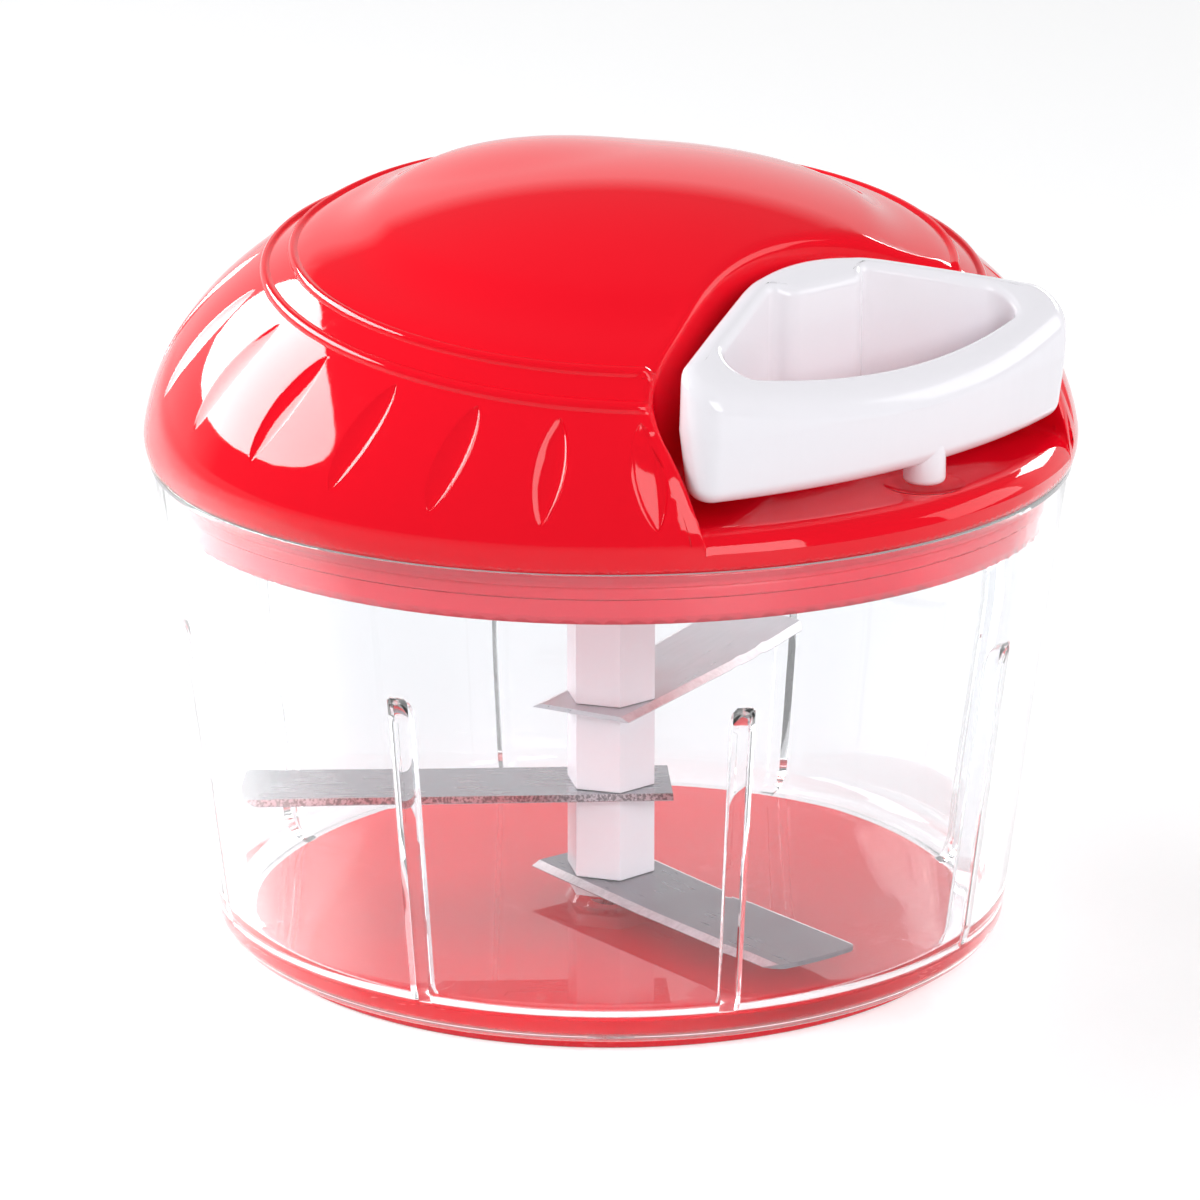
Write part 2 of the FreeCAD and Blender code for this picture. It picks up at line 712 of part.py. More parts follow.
# ---- Drive hub: joins the reel to the blade column, on the axle and in a bush ----
axle_low = column_top + 5 * clear
save("reel_axle", cylinder(axle_radius, axle_low, axle_top))
bush_radius = hub_radius + running
bush_outer = bush_radius + bush_wall
bush_seat = cover_bottom + cover_plate + bush_height
bush = ring(bush_radius, bush_outer, cover_bottom, bush_seat)
bush = bush.fuse(ring(bush_radius, hub_collar, bush_seat, bush_seat + bush_flange))
save("hub_bush", bush.removeSplitter())
collar_low = bush_seat + bush_flange + clear
hub = cylinder(hub_radius, hub_bottom, reel_low)
hub = hub.fuse(cylinder(hub_collar, collar_low, collar_low + hub_collar_height))
hub = hub.fuse(six_sided(key_corner, reel_low - 1, cup_bottom))
hub = hub.cut(six_sided(column_corner + clear, hub_bottom - 1, column_top + clear, column_heading))
hub = hub.cut(cylinder(axle_radius + running, column_top, cup_bottom + 1))
save("drive_hub", hub.removeSplitter())


# ---- Lower cover: plate with a bush boss, a skirt in the bowl and a flange on its rim ----
def skirt_outside(z):
    return bowl_inside(z) - skirt_gap


cover_rim = lid_radius - lid_wall - clear
plate_top = cover_bottom + cover_plate
bush_boss_radius = bush_outer + 2.2
cover = turned([
    (bush_outer + snug, cover_bottom, 0),
    (skirt_outside(cover_bottom) - skirt_wall, cover_bottom, 0.8),
    (skirt_outside(skirt_bottom) - skirt_wall, skirt_bottom, 0.6),
    (skirt_outside(skirt_bottom), skirt_bottom, 0.6),
    (skirt_outside(rim_height), rim_height, 0),
    (cover_rim, rim_height, 0.5),
    (cover_rim, cover_top, 0.5),
    (skirt_outside(cover_top) - skirt_wall, cover_top, 0.8),
    (skirt_outside(plate_top) - skirt_wall, plate_top, 0.8),
    (bush_boss_radius, plate_top, 0.5),
    (bush_boss_radius, bush_seat, 0.4),
    (bush_outer + snug, bush_seat, 0),
])
stiffener_length = skirt_outside(plate_top) - skirt_wall - bush_outer - 1.0
stiffener = Part.makeBox(stiffener_length, stiffener_width, cover_top - plate_top,
                         V(bush_outer + 1, -stiffener_width / 2, plate_top - 1))
for k in range(stiffener_count):
    cover = cover.fuse(facing(stiffener, 360.0 / stiffener_count * k))
for x, y in screw_places:
    cover = cover.fuse(cylinder(boss_outer, cover_bottom + 1, cover_top, x, y))
    cover = cover.cut(cylinder(screw_radius + snug, cover_bottom - 1, cover_top + 1, x, y))
    cover = cover.cut(cylinder(screw_head + snug, cover_bottom - 1, plate_top, x, y))
seal_low = seal_level - seal_height / 2
seal_inner = skirt_outside(seal_level) - seal_bite
cover = cover.cut(ring(seal_inner - snug, rim_radius, seal_low - snug, seal_low + seal_height + snug))
save("lower_cover", cover.removeSplitter())
seal = turned([
    (seal_inner, seal_low, 0),
    (bowl_inside(seal_low) - clear / 2, seal_low, 0.5),
    (bowl_inside(seal_low) - clear / 2, seal_low + seal_height, 0.5),
    (seal_inner, seal_low + seal_height, 0),
])
save("seal_ring", seal)

screws = []
for x, y in screw_places:
    screw = cylinder(screw_radius - snug, plate_top - 1, cover_top + screw_bite - clear, x, y)
    screw = screw.fuse(cylinder(screw_head, cover_bottom + clear, plate_top, x, y))
    screw = screw.cut(six_sided(screw_radius, cover_bottom, cover_bottom + 1, 0).translated(V(x, y, 0)))
    screws.append(screw)
save("cover_screws", Part.makeCompound(screws))
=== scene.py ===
import json
import math
import bmesh
import bpy
import numpy as np
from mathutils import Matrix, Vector, geometry

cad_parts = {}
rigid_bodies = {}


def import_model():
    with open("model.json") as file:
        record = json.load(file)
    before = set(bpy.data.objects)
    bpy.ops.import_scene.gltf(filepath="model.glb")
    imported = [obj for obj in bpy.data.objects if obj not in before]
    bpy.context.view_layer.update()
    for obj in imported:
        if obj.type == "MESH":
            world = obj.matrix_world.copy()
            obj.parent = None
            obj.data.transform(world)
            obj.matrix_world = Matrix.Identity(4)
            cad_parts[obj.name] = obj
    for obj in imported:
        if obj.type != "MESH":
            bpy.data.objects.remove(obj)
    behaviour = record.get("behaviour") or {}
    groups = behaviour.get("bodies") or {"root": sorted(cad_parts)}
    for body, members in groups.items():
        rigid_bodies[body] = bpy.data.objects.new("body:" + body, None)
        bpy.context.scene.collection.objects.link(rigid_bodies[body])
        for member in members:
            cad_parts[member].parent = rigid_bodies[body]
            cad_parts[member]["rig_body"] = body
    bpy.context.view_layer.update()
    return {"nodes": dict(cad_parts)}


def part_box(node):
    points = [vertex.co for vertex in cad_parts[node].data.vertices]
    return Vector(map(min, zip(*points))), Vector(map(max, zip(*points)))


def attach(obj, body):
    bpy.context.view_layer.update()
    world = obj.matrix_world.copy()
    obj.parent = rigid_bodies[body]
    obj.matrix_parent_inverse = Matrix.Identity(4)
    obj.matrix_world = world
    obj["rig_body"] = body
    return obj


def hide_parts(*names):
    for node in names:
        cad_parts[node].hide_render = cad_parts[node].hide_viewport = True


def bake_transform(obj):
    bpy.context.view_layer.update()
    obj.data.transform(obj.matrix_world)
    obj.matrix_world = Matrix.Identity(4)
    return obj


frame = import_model()

# ---- Non-slip base --------------------------------------------------------
# A soft red disc that the clear bowl stands in.  It is moulded in rubber with a
# matte skin, a rolled edge and two fine grooves underneath, and grips the foot.
MM = 0.001


def arc_line(corners, steps=6):
    """Points of an open line through (a, b, rounding) corners, each corner cut by an arc."""
    points = []
    for i, (a, b, rounding) in enumerate(corners):
        here = np.array((a, b), float)
        if rounding <= 0 or i in (0, len(corners) - 1):
            points.append(here)
            continue
        back = np.array(corners[i - 1][:2], float) - here
        ahead = np.array(corners[i + 1][:2], float) - here
        back /= np.linalg.norm(back)
        ahead /= np.linalg.norm(ahead)
        half = math.acos(np.clip(back @ ahead, -1, 1)) / 2
        middle = (back + ahead) / np.linalg.norm(back + ahead)
        centre = here + middle * rounding / math.sin(half)
        start = here + back * rounding / math.tan(half) - centre
        stop = here + ahead * rounding / math.tan(half) - centre
        sweep = math.pi - 2 * half
        for k in range(steps + 1):
            t = k / steps
            ray = (math.sin((1 - t) * sweep) * start + math.sin(t * sweep) * stop) / math.sin(sweep)
            points.append(centre + ray)
    return np.array(points)


def turned_points(profile, columns):
    """A (radius, height) line turned round the axis."""
    turn = np.linspace(0, 2 * math.pi, columns, endpoint=False)
    return [(r * math.cos(a), r * math.sin(a), z) for r, z in profile for a in turn]


def grid_faces(rows, columns, closed=True):
    """Quads over rows that each go once round; a closed grid joins its last row to its first."""
    faces = []
    for i in range(rows if closed else rows - 1):
        a, b = i * columns, (i + 1) % rows * columns
        faces += [(a + k, a + (k + 1) % columns, b + (k + 1) % columns, b + k) for k in range(columns)]
    return faces


def new_piece(name, points, faces):
    """An object with a mesh from points in millimetres."""
    mesh = bpy.data.meshes.new(name)
    places = [tuple(p) for p in np.asarray(points, float) * MM]
    mesh.from_pydata(places, [], [[int(i) for i in face] for face in faces])
    piece = bpy.data.objects.new(name, mesh)
    bpy.context.scene.collection.objects.link(piece)
    return piece


def cleaned(mesh, merge, flat=0.0, outwards=True, sharp=None):
    """Joins double points, points the faces outwards and shades all but the sharp edges smooth."""
    work = bmesh.new()
    work.from_mesh(mesh)
    bmesh.ops.remove_doubles(work, verts=work.verts, dist=merge)
    if flat:
        bmesh.ops.dissolve_degenerate(work, dist=flat, edges=work.edges)
        bmesh.ops.delete(work, geom=[v for v in work.verts if not v.link_faces], context="VERTS")
    if outwards:
        bmesh.ops.recalc_face_normals(work, faces=work.faces)
    for face in work.faces:
        face.smooth = True
    if sharp:
        for edge in work.edges:
            edge.smooth = not (len(edge.link_faces) == 2 and edge.calc_face_angle() > math.radians(sharp))
    work.to_mesh(mesh)
    work.free()


def fitted(piece, body, slot, node, *materials):
    """The piece in its materials, riding its body in place of its CAD node."""
    for material in materials:
        piece.data.materials.append(material)
    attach(piece, body)
    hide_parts(node)
    return piece


def added(tree, kind, inputs, **settings):
    """A new node with its settings made, and each input linked or given its value."""
    node = tree.nodes.new(kind)
    for label, value in settings.items():
        setattr(node, label, value)
    for label, value in inputs.items():
        if isinstance(value, bpy.types.NodeSocket):
            tree.links.new(value, node.inputs[label])
        else:
            node.inputs[label].default_value = value
    return node


def noise(tree, place, scale, detail=3.0, roughness=0.5):
    """A cloudy pattern on a place vector."""
    return added(tree, "ShaderNodeTexNoise", {
        "Vector": place, "Scale": scale, "Detail": detail, "Roughness": roughness}).outputs["Fac"]


def value_map(tree, source, from_low, from_high, to_low, to_high):
    """Maps a value from one range to another, clamped."""
    return added(tree, "ShaderNodeMapRange", {
        "Value": source, "From Min": from_low, "From Max": from_high,
        "To Min": to_low, "To Max": to_high}).outputs["Result"]


def maths(tree, operation, a, b):
    """One arithmetic node; a and b are sockets or numbers."""
    return added(tree, "ShaderNodeMath", {0: a, 1: b}, operation=operation).outputs[0]


def surface_group(name, inputs):
    """A shader node group that puts out a colour, a roughness and a normal; returns its inputs too."""
    tree = bpy.data.node_groups.new(name, "ShaderNodeTree")
    inputs = [("Place", "Vector", (0, 0, 0)), ("Colour", "Color", (0.5, 0.5, 0.5, 1))] + inputs
    for label, kind, default in inputs:
        socket = tree.interface.new_socket(label, in_out="INPUT", socket_type="NodeSocket" + kind)
        socket.default_value = default
    for label, kind in (("Colour", "Color"), ("Roughness", "Float"), ("Normal", "Vector")):
        tree.interface.new_socket(label, in_out="OUTPUT", socket_type="NodeSocket" + kind)
    return tree, tree.nodes.new("NodeGroupInput").outputs


def surface(name, pattern, values, shading, turn=0.0):
    """A material whose colour, gloss and relief come from a surface group turned to a heading."""
    material = bpy.data.materials.new(name)
    material.use_nodes = True
    tree = material.node_tree
    place = added(tree, "ShaderNodeMapping", {
        "Vector": tree.nodes.new("ShaderNodeTexCoord").outputs["Object"],
        "Rotation": (0, 0, -math.radians(turn))}).outputs["Vector"]
    node = added(tree, "ShaderNodeGroup", {"Place": place, **values}, node_tree=pattern)
    shader = tree.nodes["Principled BSDF"]
    for label, output in (("Base Color", "Colour"), ("Roughness", "Roughness"), ("Normal", "Normal")):
        tree.links.new(node.outputs[output], shader.inputs[label])
    for label, value in shading.items():
        shader.inputs[label].default_value = value
    return material


# The moulded skin that all of the plastic and rubber shares: a slow drift of
# colour, fine handling scuffs in the gloss, and a faint orange-peel relief.
drift_scale, scuff_scale, wear_scale, peel_scale, peel_height = 28.0, 420.0, 60.0, 900.0, 0.2 * MM
skin, skin_in = surface_group("moulded_skin", [
    ("Drift", "Float", 0.05), ("Gloss", "Float", 0.2), ("Scuffs", "Float", 0.1), ("Relief", "Float", 0.02)])
clouds = maths(skin, "SUBTRACT", noise(skin, skin_in["Place"], drift_scale, 2.0), 0.5)
brightness = maths(skin, "ADD", maths(skin, "MULTIPLY", clouds, skin_in["Drift"]), 1.0)
skin_tone = added(skin, "ShaderNodeHueSaturation", {"Color": skin_in["Colour"], "Value": brightness})
stretched = added(skin, "ShaderNodeMapping", {
    "Vector": skin_in["Place"], "Scale": (1.0, 1.0, 6.0), "Rotation": (0.5, 0.3, 0.9)}).outputs["Vector"]
scuffed = value_map(skin, noise(skin, stretched, scuff_scale, 4.0, 0.6), 0.52, 0.72, 0, 1)
handled = value_map(skin, noise(skin, skin_in["Place"], wear_scale), 0.45, 0.7, 0, 1)
worn = maths(skin, "MULTIPLY", maths(skin, "MULTIPLY", scuffed, handled), skin_in["Scuffs"])
peel = added(skin, "ShaderNodeBump", {
    "Strength": skin_in["Relief"], "Distance": peel_height,
    "Height": noise(skin, skin_in["Place"], peel_scale, 2.0)})
added(skin, "NodeGroupOutput", {
    "Colour": skin_tone.outputs["Color"], "Roughness": maths(skin, "ADD", skin_in["Gloss"], worn),
    "Normal": peel.outputs["Normal"]})


def moulded(name, colour, drift, gloss, scuffs, relief, **shading):
    """A plastic or rubber with the moulded skin."""
    return surface(name, skin, {"Colour": (*colour, 1), "Drift": drift, "Gloss": gloss, "Scuffs": scuffs,
                                "Relief": relief}, shading)


base_clearance, bedding, base_roll = 0.02, 0.04, 0.6
groove_radii, groove_width, groove_depth, groove_slope = (20, 40), 2.0, 0.35, 0.4
base_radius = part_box("non_slip_base")[1].x / MM - base_clearance
base_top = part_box("non_slip_base")[1].z / MM + bedding
base_corners = [(0.01, 0, 0)]
for r in groove_radii:
    base_corners += [(r, 0, 0), (r + groove_slope, groove_depth, 0),
                     (r + groove_width - groove_slope, groove_depth, 0), (r + groove_width, 0, 0)]
base_corners += [(base_radius - 0.5, 0, base_roll), (base_radius, base_top, base_roll), (0.01, base_top, 0)]
base_line = arc_line(base_corners, 8)
base_columns = 160
base_rubber = moulded("base_rubber", (0.66, 0.002, 0.012), 0.1, 0.22, 0.2, 0.08)
non_slip_disc = new_piece("non_slip_disc", turned_points(base_line, base_columns),
                          grid_faces(len(base_line), base_columns))
cleaned(non_slip_disc.data, 1e-7, 1e-7, sharp=50)
fitted(non_slip_disc, "bowl", "red_rubber", "non_slip_base", base_rubber)

# ---- Bowl -----------------------------------------------------------------
# One shell injection-moulded in clear hard plastic: a tapered wall, a rounded
# floor, and eight upright ribs inside that stop the food from turning.
rim_height, rim_radius, bowl_taper, bowl_wall = 82.0, 74.5, 0.1235, 2.4
bowl_low, floor_top, bowl_corner, inner_corner = 2.0, 5.4, 4.0, 5.0
collar_low, collar_out, pin_boss_radius, pin_boss_rise = 81.0, 0.35, 6.5, 1.3
rib_count, rib_heading = 8, 19.0
rib_width, rib_depth, rib_top, rib_slant, rib_arch = 3.2, 2.6, 58.8, 4.0, 0.9
rib_inner_end, rib_foot_end, rib_foot = 50, 55, 3.0


def bowl_outside(z):
    """Radius of the tapered wall's outer face at a height."""
    return rim_radius - bowl_taper * (rim_height - z)


def bowl_inside(z):
    """Radius of the tapered wall's inner face at a height."""
    return bowl_outside(z) - bowl_wall


rim_middle, collar_radius, collar_foot = rim_radius - bowl_wall / 2, rim_radius + collar_out, collar_low - 0.3
bowl_outer_line = arc_line([
    (0.01, bowl_low, 0), (30, bowl_low, 0), (58, bowl_low, 0),
    (bowl_outside(bowl_low), bowl_low, bowl_corner),
    (bowl_outside(40), 40, 0), (bowl_outside(collar_foot), collar_foot, 0.15), (collar_radius, collar_low, 0.2),
    (collar_radius, rim_height, 0.4), (rim_middle, rim_height, 0),
], 12)
rib_rows = [rib_top - rib_slant * drop for drop in (0.0, 0.06, 0.14, 0.24, 0.36, 0.5, 0.66, 0.82, 1.0, 1.2)]
bowl_inner_line = arc_line([
    (rim_middle, rim_height, 0), (bowl_inside(rim_height), rim_height, 0.7),
    *((bowl_inside(z), z, 0) for z in [68, rib_top + 0.6] + rib_rows + [40, 25]),
    (bowl_inside(floor_top), floor_top, inner_corner), (50, floor_top, 0), (30, floor_top, 0),
    (pin_boss_radius + 1, floor_top, 0), (pin_boss_radius, floor_top + pin_boss_rise, 0.5),
    (0.01, floor_top + pin_boss_rise, 0),
], 12)[1:]
bowl_line = np.concatenate([bowl_outer_line, bowl_inner_line])
half_rib = [(-2.2, 0), (-1.68, 0), (-1.6, 0.5), (-1.45, 0.94), (-1.2, 1)]
rib_steps = half_rib + [(0, 1)] + [(-off, lift) for off, lift in half_rib[::-1]]
bowl_turns = []
rib_pitch, rib_reach = math.radians(360.0 / rib_count), bowl_inside(30)
for k in range(rib_count):
    middle = math.radians(rib_heading) + rib_pitch * k
    bowl_turns += [(middle + off / rib_reach, off, lift) for off, lift in rib_steps]
    low, high = rib_steps[-1][0] / rib_reach, rib_pitch + rib_steps[0][0] / rib_reach
    bowl_turns += [(middle + low + (high - low) * m / 20, 0, 0) for m in range(1, 20)]


def rib_share(r, z, off):
    """How far a rib stands out at a point of the bowl's inner line, from 0 to 1."""
    if r < rib_inner_end:
        return 0.0
    drop = (rib_top - rib_arch * (off / rib_width * 2) ** 2 - z) / rib_slant
    cap = math.sqrt(1 - (1 - min(max(drop, 0.0), 1.0)) ** 2)
    return cap * min(1.0, max(0.0, (z - floor_top) / rib_foot) + (0.35 if r > rib_foot_end else 0.0))


bowl_points = []
for i, (r, z) in enumerate(bowl_line):
    for turn, off, lift in bowl_turns:
        inner = i >= len(bowl_outer_line)
        inward = rib_depth * lift * rib_share(r, z, off) if inner else 0.0
        bowl_points.append(((r - inward) * math.cos(turn), (r - inward) * math.sin(turn), z))
clear_plastic = moulded("clear_plastic", (0.93, 0.94, 0.955), 0.01, 0.01, 0.05, 0.0, **{
    "Transmission Weight": 1.0, "IOR": 1.49})
tree = clear_plastic.node_tree
shader = tree.nodes["Principled BSDF"]
tree.links.remove(shader.inputs["Normal"].links[0])
# Most light passes straight through, and a ray that the wall has trapped goes on out
shadow_pass, deepest_bounce = 0.92, 5.5
rays = tree.nodes.new("ShaderNodeLightPath").outputs
cast = maths(tree, "SUBTRACT", 1.0, maths(tree, "MULTIPLY", rays["Is Shadow Ray"], shadow_pass))
fresh = maths(tree, "LESS_THAN", rays["Ray Depth"], deepest_bounce)
tree.links.new(maths(tree, "MULTIPLY", cast, fresh), shader.inputs["Alpha"])
clear_bowl = new_piece("clear_bowl", bowl_points, grid_faces(len(bowl_line), len(bowl_turns)))
cleaned(clear_bowl.data, 1e-7, 1e-7, sharp=32)
fitted(clear_bowl, "bowl", "clear_plastic", "bowl", clear_plastic)

# ---- Centre pin -----------------------------------------------------------
# A turned steel pin, moulded into the boss in the middle of the bowl's floor.
# The blade stack stands and turns on it.


def smooth_copy(node, name, slot, material):
    """The CAD solid with its triangles joined and its curved faces shaded smooth."""
    source = frame["nodes"][node]
    piece = source.copy()
    piece.data = source.data.copy()
    piece.parent = None
    for key in list(piece.keys()):
        del piece[key]
    piece.name = piece.data.name = name
    bpy.context.scene.collection.objects.link(piece)
    cleaned(piece.data, 1e-6, outwards=False, sharp=35)
    piece.data.materials.clear()
    return fitted(piece, source["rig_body"], slot, node, material)


# Ground or rolled steel: fine lines along one direction, pits where it was left
# rough, and soft handling marks.
line_scale, pit_scale, mark_scale, line_height = 100.0, 330.0, 90.0, 0.1 * MM
grind, grind_in = surface_group("ground_steel", [
    ("Lines", "Vector", (1, 1, 1)), ("Gloss", "Float", 0.3), ("Depth", "Float", 0.1),
    ("Speckle", "Float", 0.0)])
along_lines = added(grind, "ShaderNodeVectorMath", {0: grind_in["Place"], 1: grind_in["Lines"]},
                    operation="MULTIPLY").outputs["Vector"]
grind_lines = noise(grind, along_lines, line_scale)
pits = value_map(grind, noise(grind, along_lines, pit_scale, 2.0), 0.44, 0.58, 0, 1)
unpitted = maths(grind, "SUBTRACT", 1.0, maths(grind, "MULTIPLY", pits, grind_in["Speckle"]))
grain = maths(grind, "MULTIPLY", value_map(grind, grind_lines, 0.2, 0.8, 0.88, 1.1), unpitted)
steel_tone = added(grind, "ShaderNodeHueSaturation", {"Color": grind_in["Colour"], "Value": grain})
streak = value_map(grind, grind_lines, 0.3, 0.7, -0.06, 0.06)
smear = value_map(grind, noise(grind, grind_in["Place"], mark_scale, 4.0), 0.4, 0.75, 0.0, 0.12)
line_bump = added(grind, "ShaderNodeBump", {
    "Strength": grind_in["Depth"], "Distance": line_height, "Height": grind_lines})
added(grind, "NodeGroupOutput", {
    "Colour": steel_tone.outputs["Color"], "Normal": line_bump.outputs["Normal"],
    "Roughness": maths(grind, "ADD", grind_in["Gloss"], maths(grind, "ADD", streak, smear))})


def steel(name, colour, gloss, lines, turn=0.0, depth=0.15, speckle=0.0):
    """Steel whose grinding lines run along a heading."""
    return surface(name, grind, {"Colour": (*colour, 1), "Lines": lines, "Gloss": gloss, "Depth": depth,
                                 "Speckle": speckle}, {"Metallic": 1.0}, turn)


plain_steel = steel("turned_steel", (0.56, 0.56, 0.58), 0.28, (12, 12, 1))
smooth_copy("centre_pin", "bowl_pin", "steel", plain_steel)

# ---- Blade stack ----------------------------------------------------------
# Six-sided sleeves of off-white plastic hold three stamped steel blades at
# three heights; a long screw from the top clamps the stack on its spindle.
column_plastic = moulded("column_plastic", (0.84, 0.84, 0.88), 0.04, 0.22, 0.15, 0.04)
for node_name, name in (("blade_spindle", "blade_foot"), ("lower_spacer", "lower_sleeve"),
                        ("middle_spacer", "middle_sleeve"), ("drive_column", "column_head")):
    sleeve = smooth_copy(node_name, name, "off_white_plastic", column_plastic)
    soften = sleeve.modifiers.new("softened", "BEVEL")
    soften.width = 0.25 * MM
    soften.segments = 3
    soften.limit_method = "ANGLE"
    soften.angle_limit = math.radians(35)
    soften.harden_normals = True
smooth_copy("stack_screw", "stack_bolt", "steel", plain_steel)

blade_thickness, blade_width, blade_tail, edge_bevel = 0.8, 18.0, 9.8, 1.5
cutting_edge, tip_corner, tip_clip = 0.12, 2.6, 0.34
flattest_bevel, steepest_bevel = 0.995, 0.7


def knife(name, node, reach, level, heading, flat_steel, ground_steel):
    """A blade with both long edges ground to a wedge and an end that follows the bowl."""
    half = blade_width / 2
    ys = np.array((-half, -half + 0.7, -half + edge_bevel, -half + 2.0, -half + tip_corner, -4, -2, 0))
    ys = np.concatenate([ys, -ys[-2::-1]])
    ends = np.sqrt(reach ** 2 - ys ** 2) - tip_clip * np.clip(np.abs(ys) - (half - tip_corner), 0, None) ** 2
    wedge = cutting_edge + (half - np.abs(ys)) / edge_bevel * (blade_thickness - cutting_edge)
    along = np.array((0, 0.1, 0.25, 0.4, 0.55, 0.7, 0.85, 0.96, 1.0))
    cos, sin = math.cos(math.radians(heading)), math.sin(math.radians(heading))
    points = []
    for z in (np.zeros(len(ys)), np.minimum(blade_thickness, wedge)):
        for part in along:
            for x, y, rise in zip(-blade_tail + (ends + blade_tail) * part, ys, z):
                points.append((x * cos - y * sin, x * sin + y * cos, level + rise))
    across, rows = len(ys), len(along)
    side = across * rows
    faces = []
    for i in range(rows - 1):
        for a in range(i * across, i * across + across - 1):
            faces.append((a, a + 1, a + across + 1, a + across))
            faces.append((side + a, side + a + across, side + a + across + 1, side + a + 1))
        for a in (i * across, i * across + across - 1):
            faces.append((a, a + across, side + a + across, side + a))
    for k in range(across - 1):
        for a in (k, (rows - 1) * across + k):
            faces.append((a, a + 1, side + a + 1, side + a))
    piece = new_piece(name, points, faces)
    cleaned(piece.data, 1e-7, 1e-7, sharp=8)
    fitted(piece, "blades", "blade_steel", node, flat_steel, ground_steel)
    for face in piece.data.polygons:
        if steepest_bevel < face.normal.z < flattest_bevel:
            face.material_index = 1


# Painted shade: the three blades are one steel, but each face colour is set darker the lower the blade sits in
# the bowl, from 0.56 at the top to 0.29 at the bottom.
for name, node_name, reach, level, heading, colour, gloss, burr in (
        ("bottom_knife", "lower_blade", 54.5, 9.2, -96.0, (0.29, 0.28, 0.30), 0.30, 0.1),
        ("centre_knife", "middle_blade", 61.0, 24.2, 140.0, (0.42, 0.42, 0.44), 0.20, 0.65),
        ("top_knife", "upper_blade", 53.0, 39.2, 17.0, (0.56, 0.55, 0.58), 0.30, 0.1)):
    flat = steel(name + "_face", colour, gloss, (1, 14, 14), heading, 0.12)
    ground = steel(name + "_edge", (0.70, 0.70, 0.72), 0.34, (7, 4, 4), heading, 0.3, burr)
    knife(name, node_name, reach, level, heading, flat, ground)

# ---- Lower cover ----------------------------------------------------------
# The lid's red underside: a moulded plate that carries the drive's bush, a
# skirt that plugs into the bowl and a flange that rests on the bowl's rim.
red_under = moulded("cover_plastic", (0.86, 0.02, 0.05), 0.05, 0.16, 0.1, 0.03)
underside = smooth_copy("lower_cover", "lid_underside", "red_plastic", red_under)
skirt_foot, skirt_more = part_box("lower_cover")[0].z, 0.9 * MM
for vertex in underside.data.vertices:
    if vertex.co.z < skirt_foot + 0.1 * MM:
        vertex.co.z -= skirt_more

# ---- Seal ring ------------------------------------------------------------
# A soft silicone ring in the cover's own red, stretched into a groove of the
# skirt, where it presses against the bowl's wall.
seal_silicone = moulded("seal_silicone", (0.86, 0.02, 0.05), 0.05, 0.3, 0.1, 0.1)
smooth_copy("seal_ring", "lid_seal", "seal_rubber", seal_silicone)

# ---- Cover screws ---------------------------------------------------------
# Four pan-head steel screws with hexagon sockets.  They are driven from below
# and hold the cover up against bosses in the lid.
screw_places = [(38, 38), (-38, 38), (30, -54), (-30, -54)]
screw_low, screw_high = (corner.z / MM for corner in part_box("cover_screws"))
screw_head_radius, screw_head_depth, screw_shank, socket_depth = 2.8, 1.5, 1.38, 0.9


def length_tree(name, sizes):
    """A geometry tree with a named input for each length; returns its inputs and identifiers too."""
    tree = bpy.data.node_groups.new(name, "GeometryNodeTree")
    tree.interface.new_socket("Geometry", in_out="INPUT", socket_type="NodeSocketGeometry")
    tree.interface.new_socket("Geometry", in_out="OUTPUT", socket_type="NodeSocketGeometry")
    found = {}
    for label in sizes:
        socket = tree.interface.new_socket(label, in_out="INPUT", socket_type="NodeSocketFloat")
        found[label] = socket.identifier
    return tree, tree.nodes.new("NodeGroupInput").outputs, found


def stood_on_points(tree, points, mesh, material):
    """Ends a tree with its mesh on every start point, made real and in its material."""
    placed = added(tree, "GeometryNodeInstanceOnPoints", {"Points": points, "Instance": mesh})
    real = added(tree, "GeometryNodeRealizeInstances", {"Geometry": placed.outputs["Instances"]})
    coated = added(tree, "GeometryNodeSetMaterial", {
        "Geometry": real.outputs["Geometry"], "Material": material})
    added(tree, "NodeGroupOutput", {"Geometry": coated.outputs["Geometry"]})


def grown(name, start_points, tree, identifiers, sizes, body, slot, node):
    """The plain mesh that a geometry tree makes from start points, riding its body."""
    start = new_piece(name + "_start", start_points, [])
    grow = start.modifiers.new("grow", "NODES")
    grow.node_group = tree
    for label, value in sizes.items():
        grow[identifiers[label]] = float(value)
    ready = start.evaluated_get(bpy.context.evaluated_depsgraph_get())
    piece = bpy.data.objects.new(name, bpy.data.meshes.new_from_object(ready))
    bpy.data.objects.remove(start)
    piece.data.name = name
    bpy.context.scene.collection.objects.link(piece)
    cleaned(piece.data, 1e-7, sharp=35)
    return fitted(piece, body, slot, node)


def round_bar(tree, radius, depth, rise, sides):
    """A closed bar standing with its middle at a height above the tree's points."""
    bar = added(tree, "GeometryNodeMeshCylinder", {"Radius": radius, "Depth": depth, "Vertices": sides})
    up = added(tree, "ShaderNodeCombineXYZ", {"Z": rise})
    return added(tree, "GeometryNodeTransform", {
        "Geometry": bar.outputs["Mesh"], "Translation": up.outputs["Vector"]}).outputs["Geometry"]


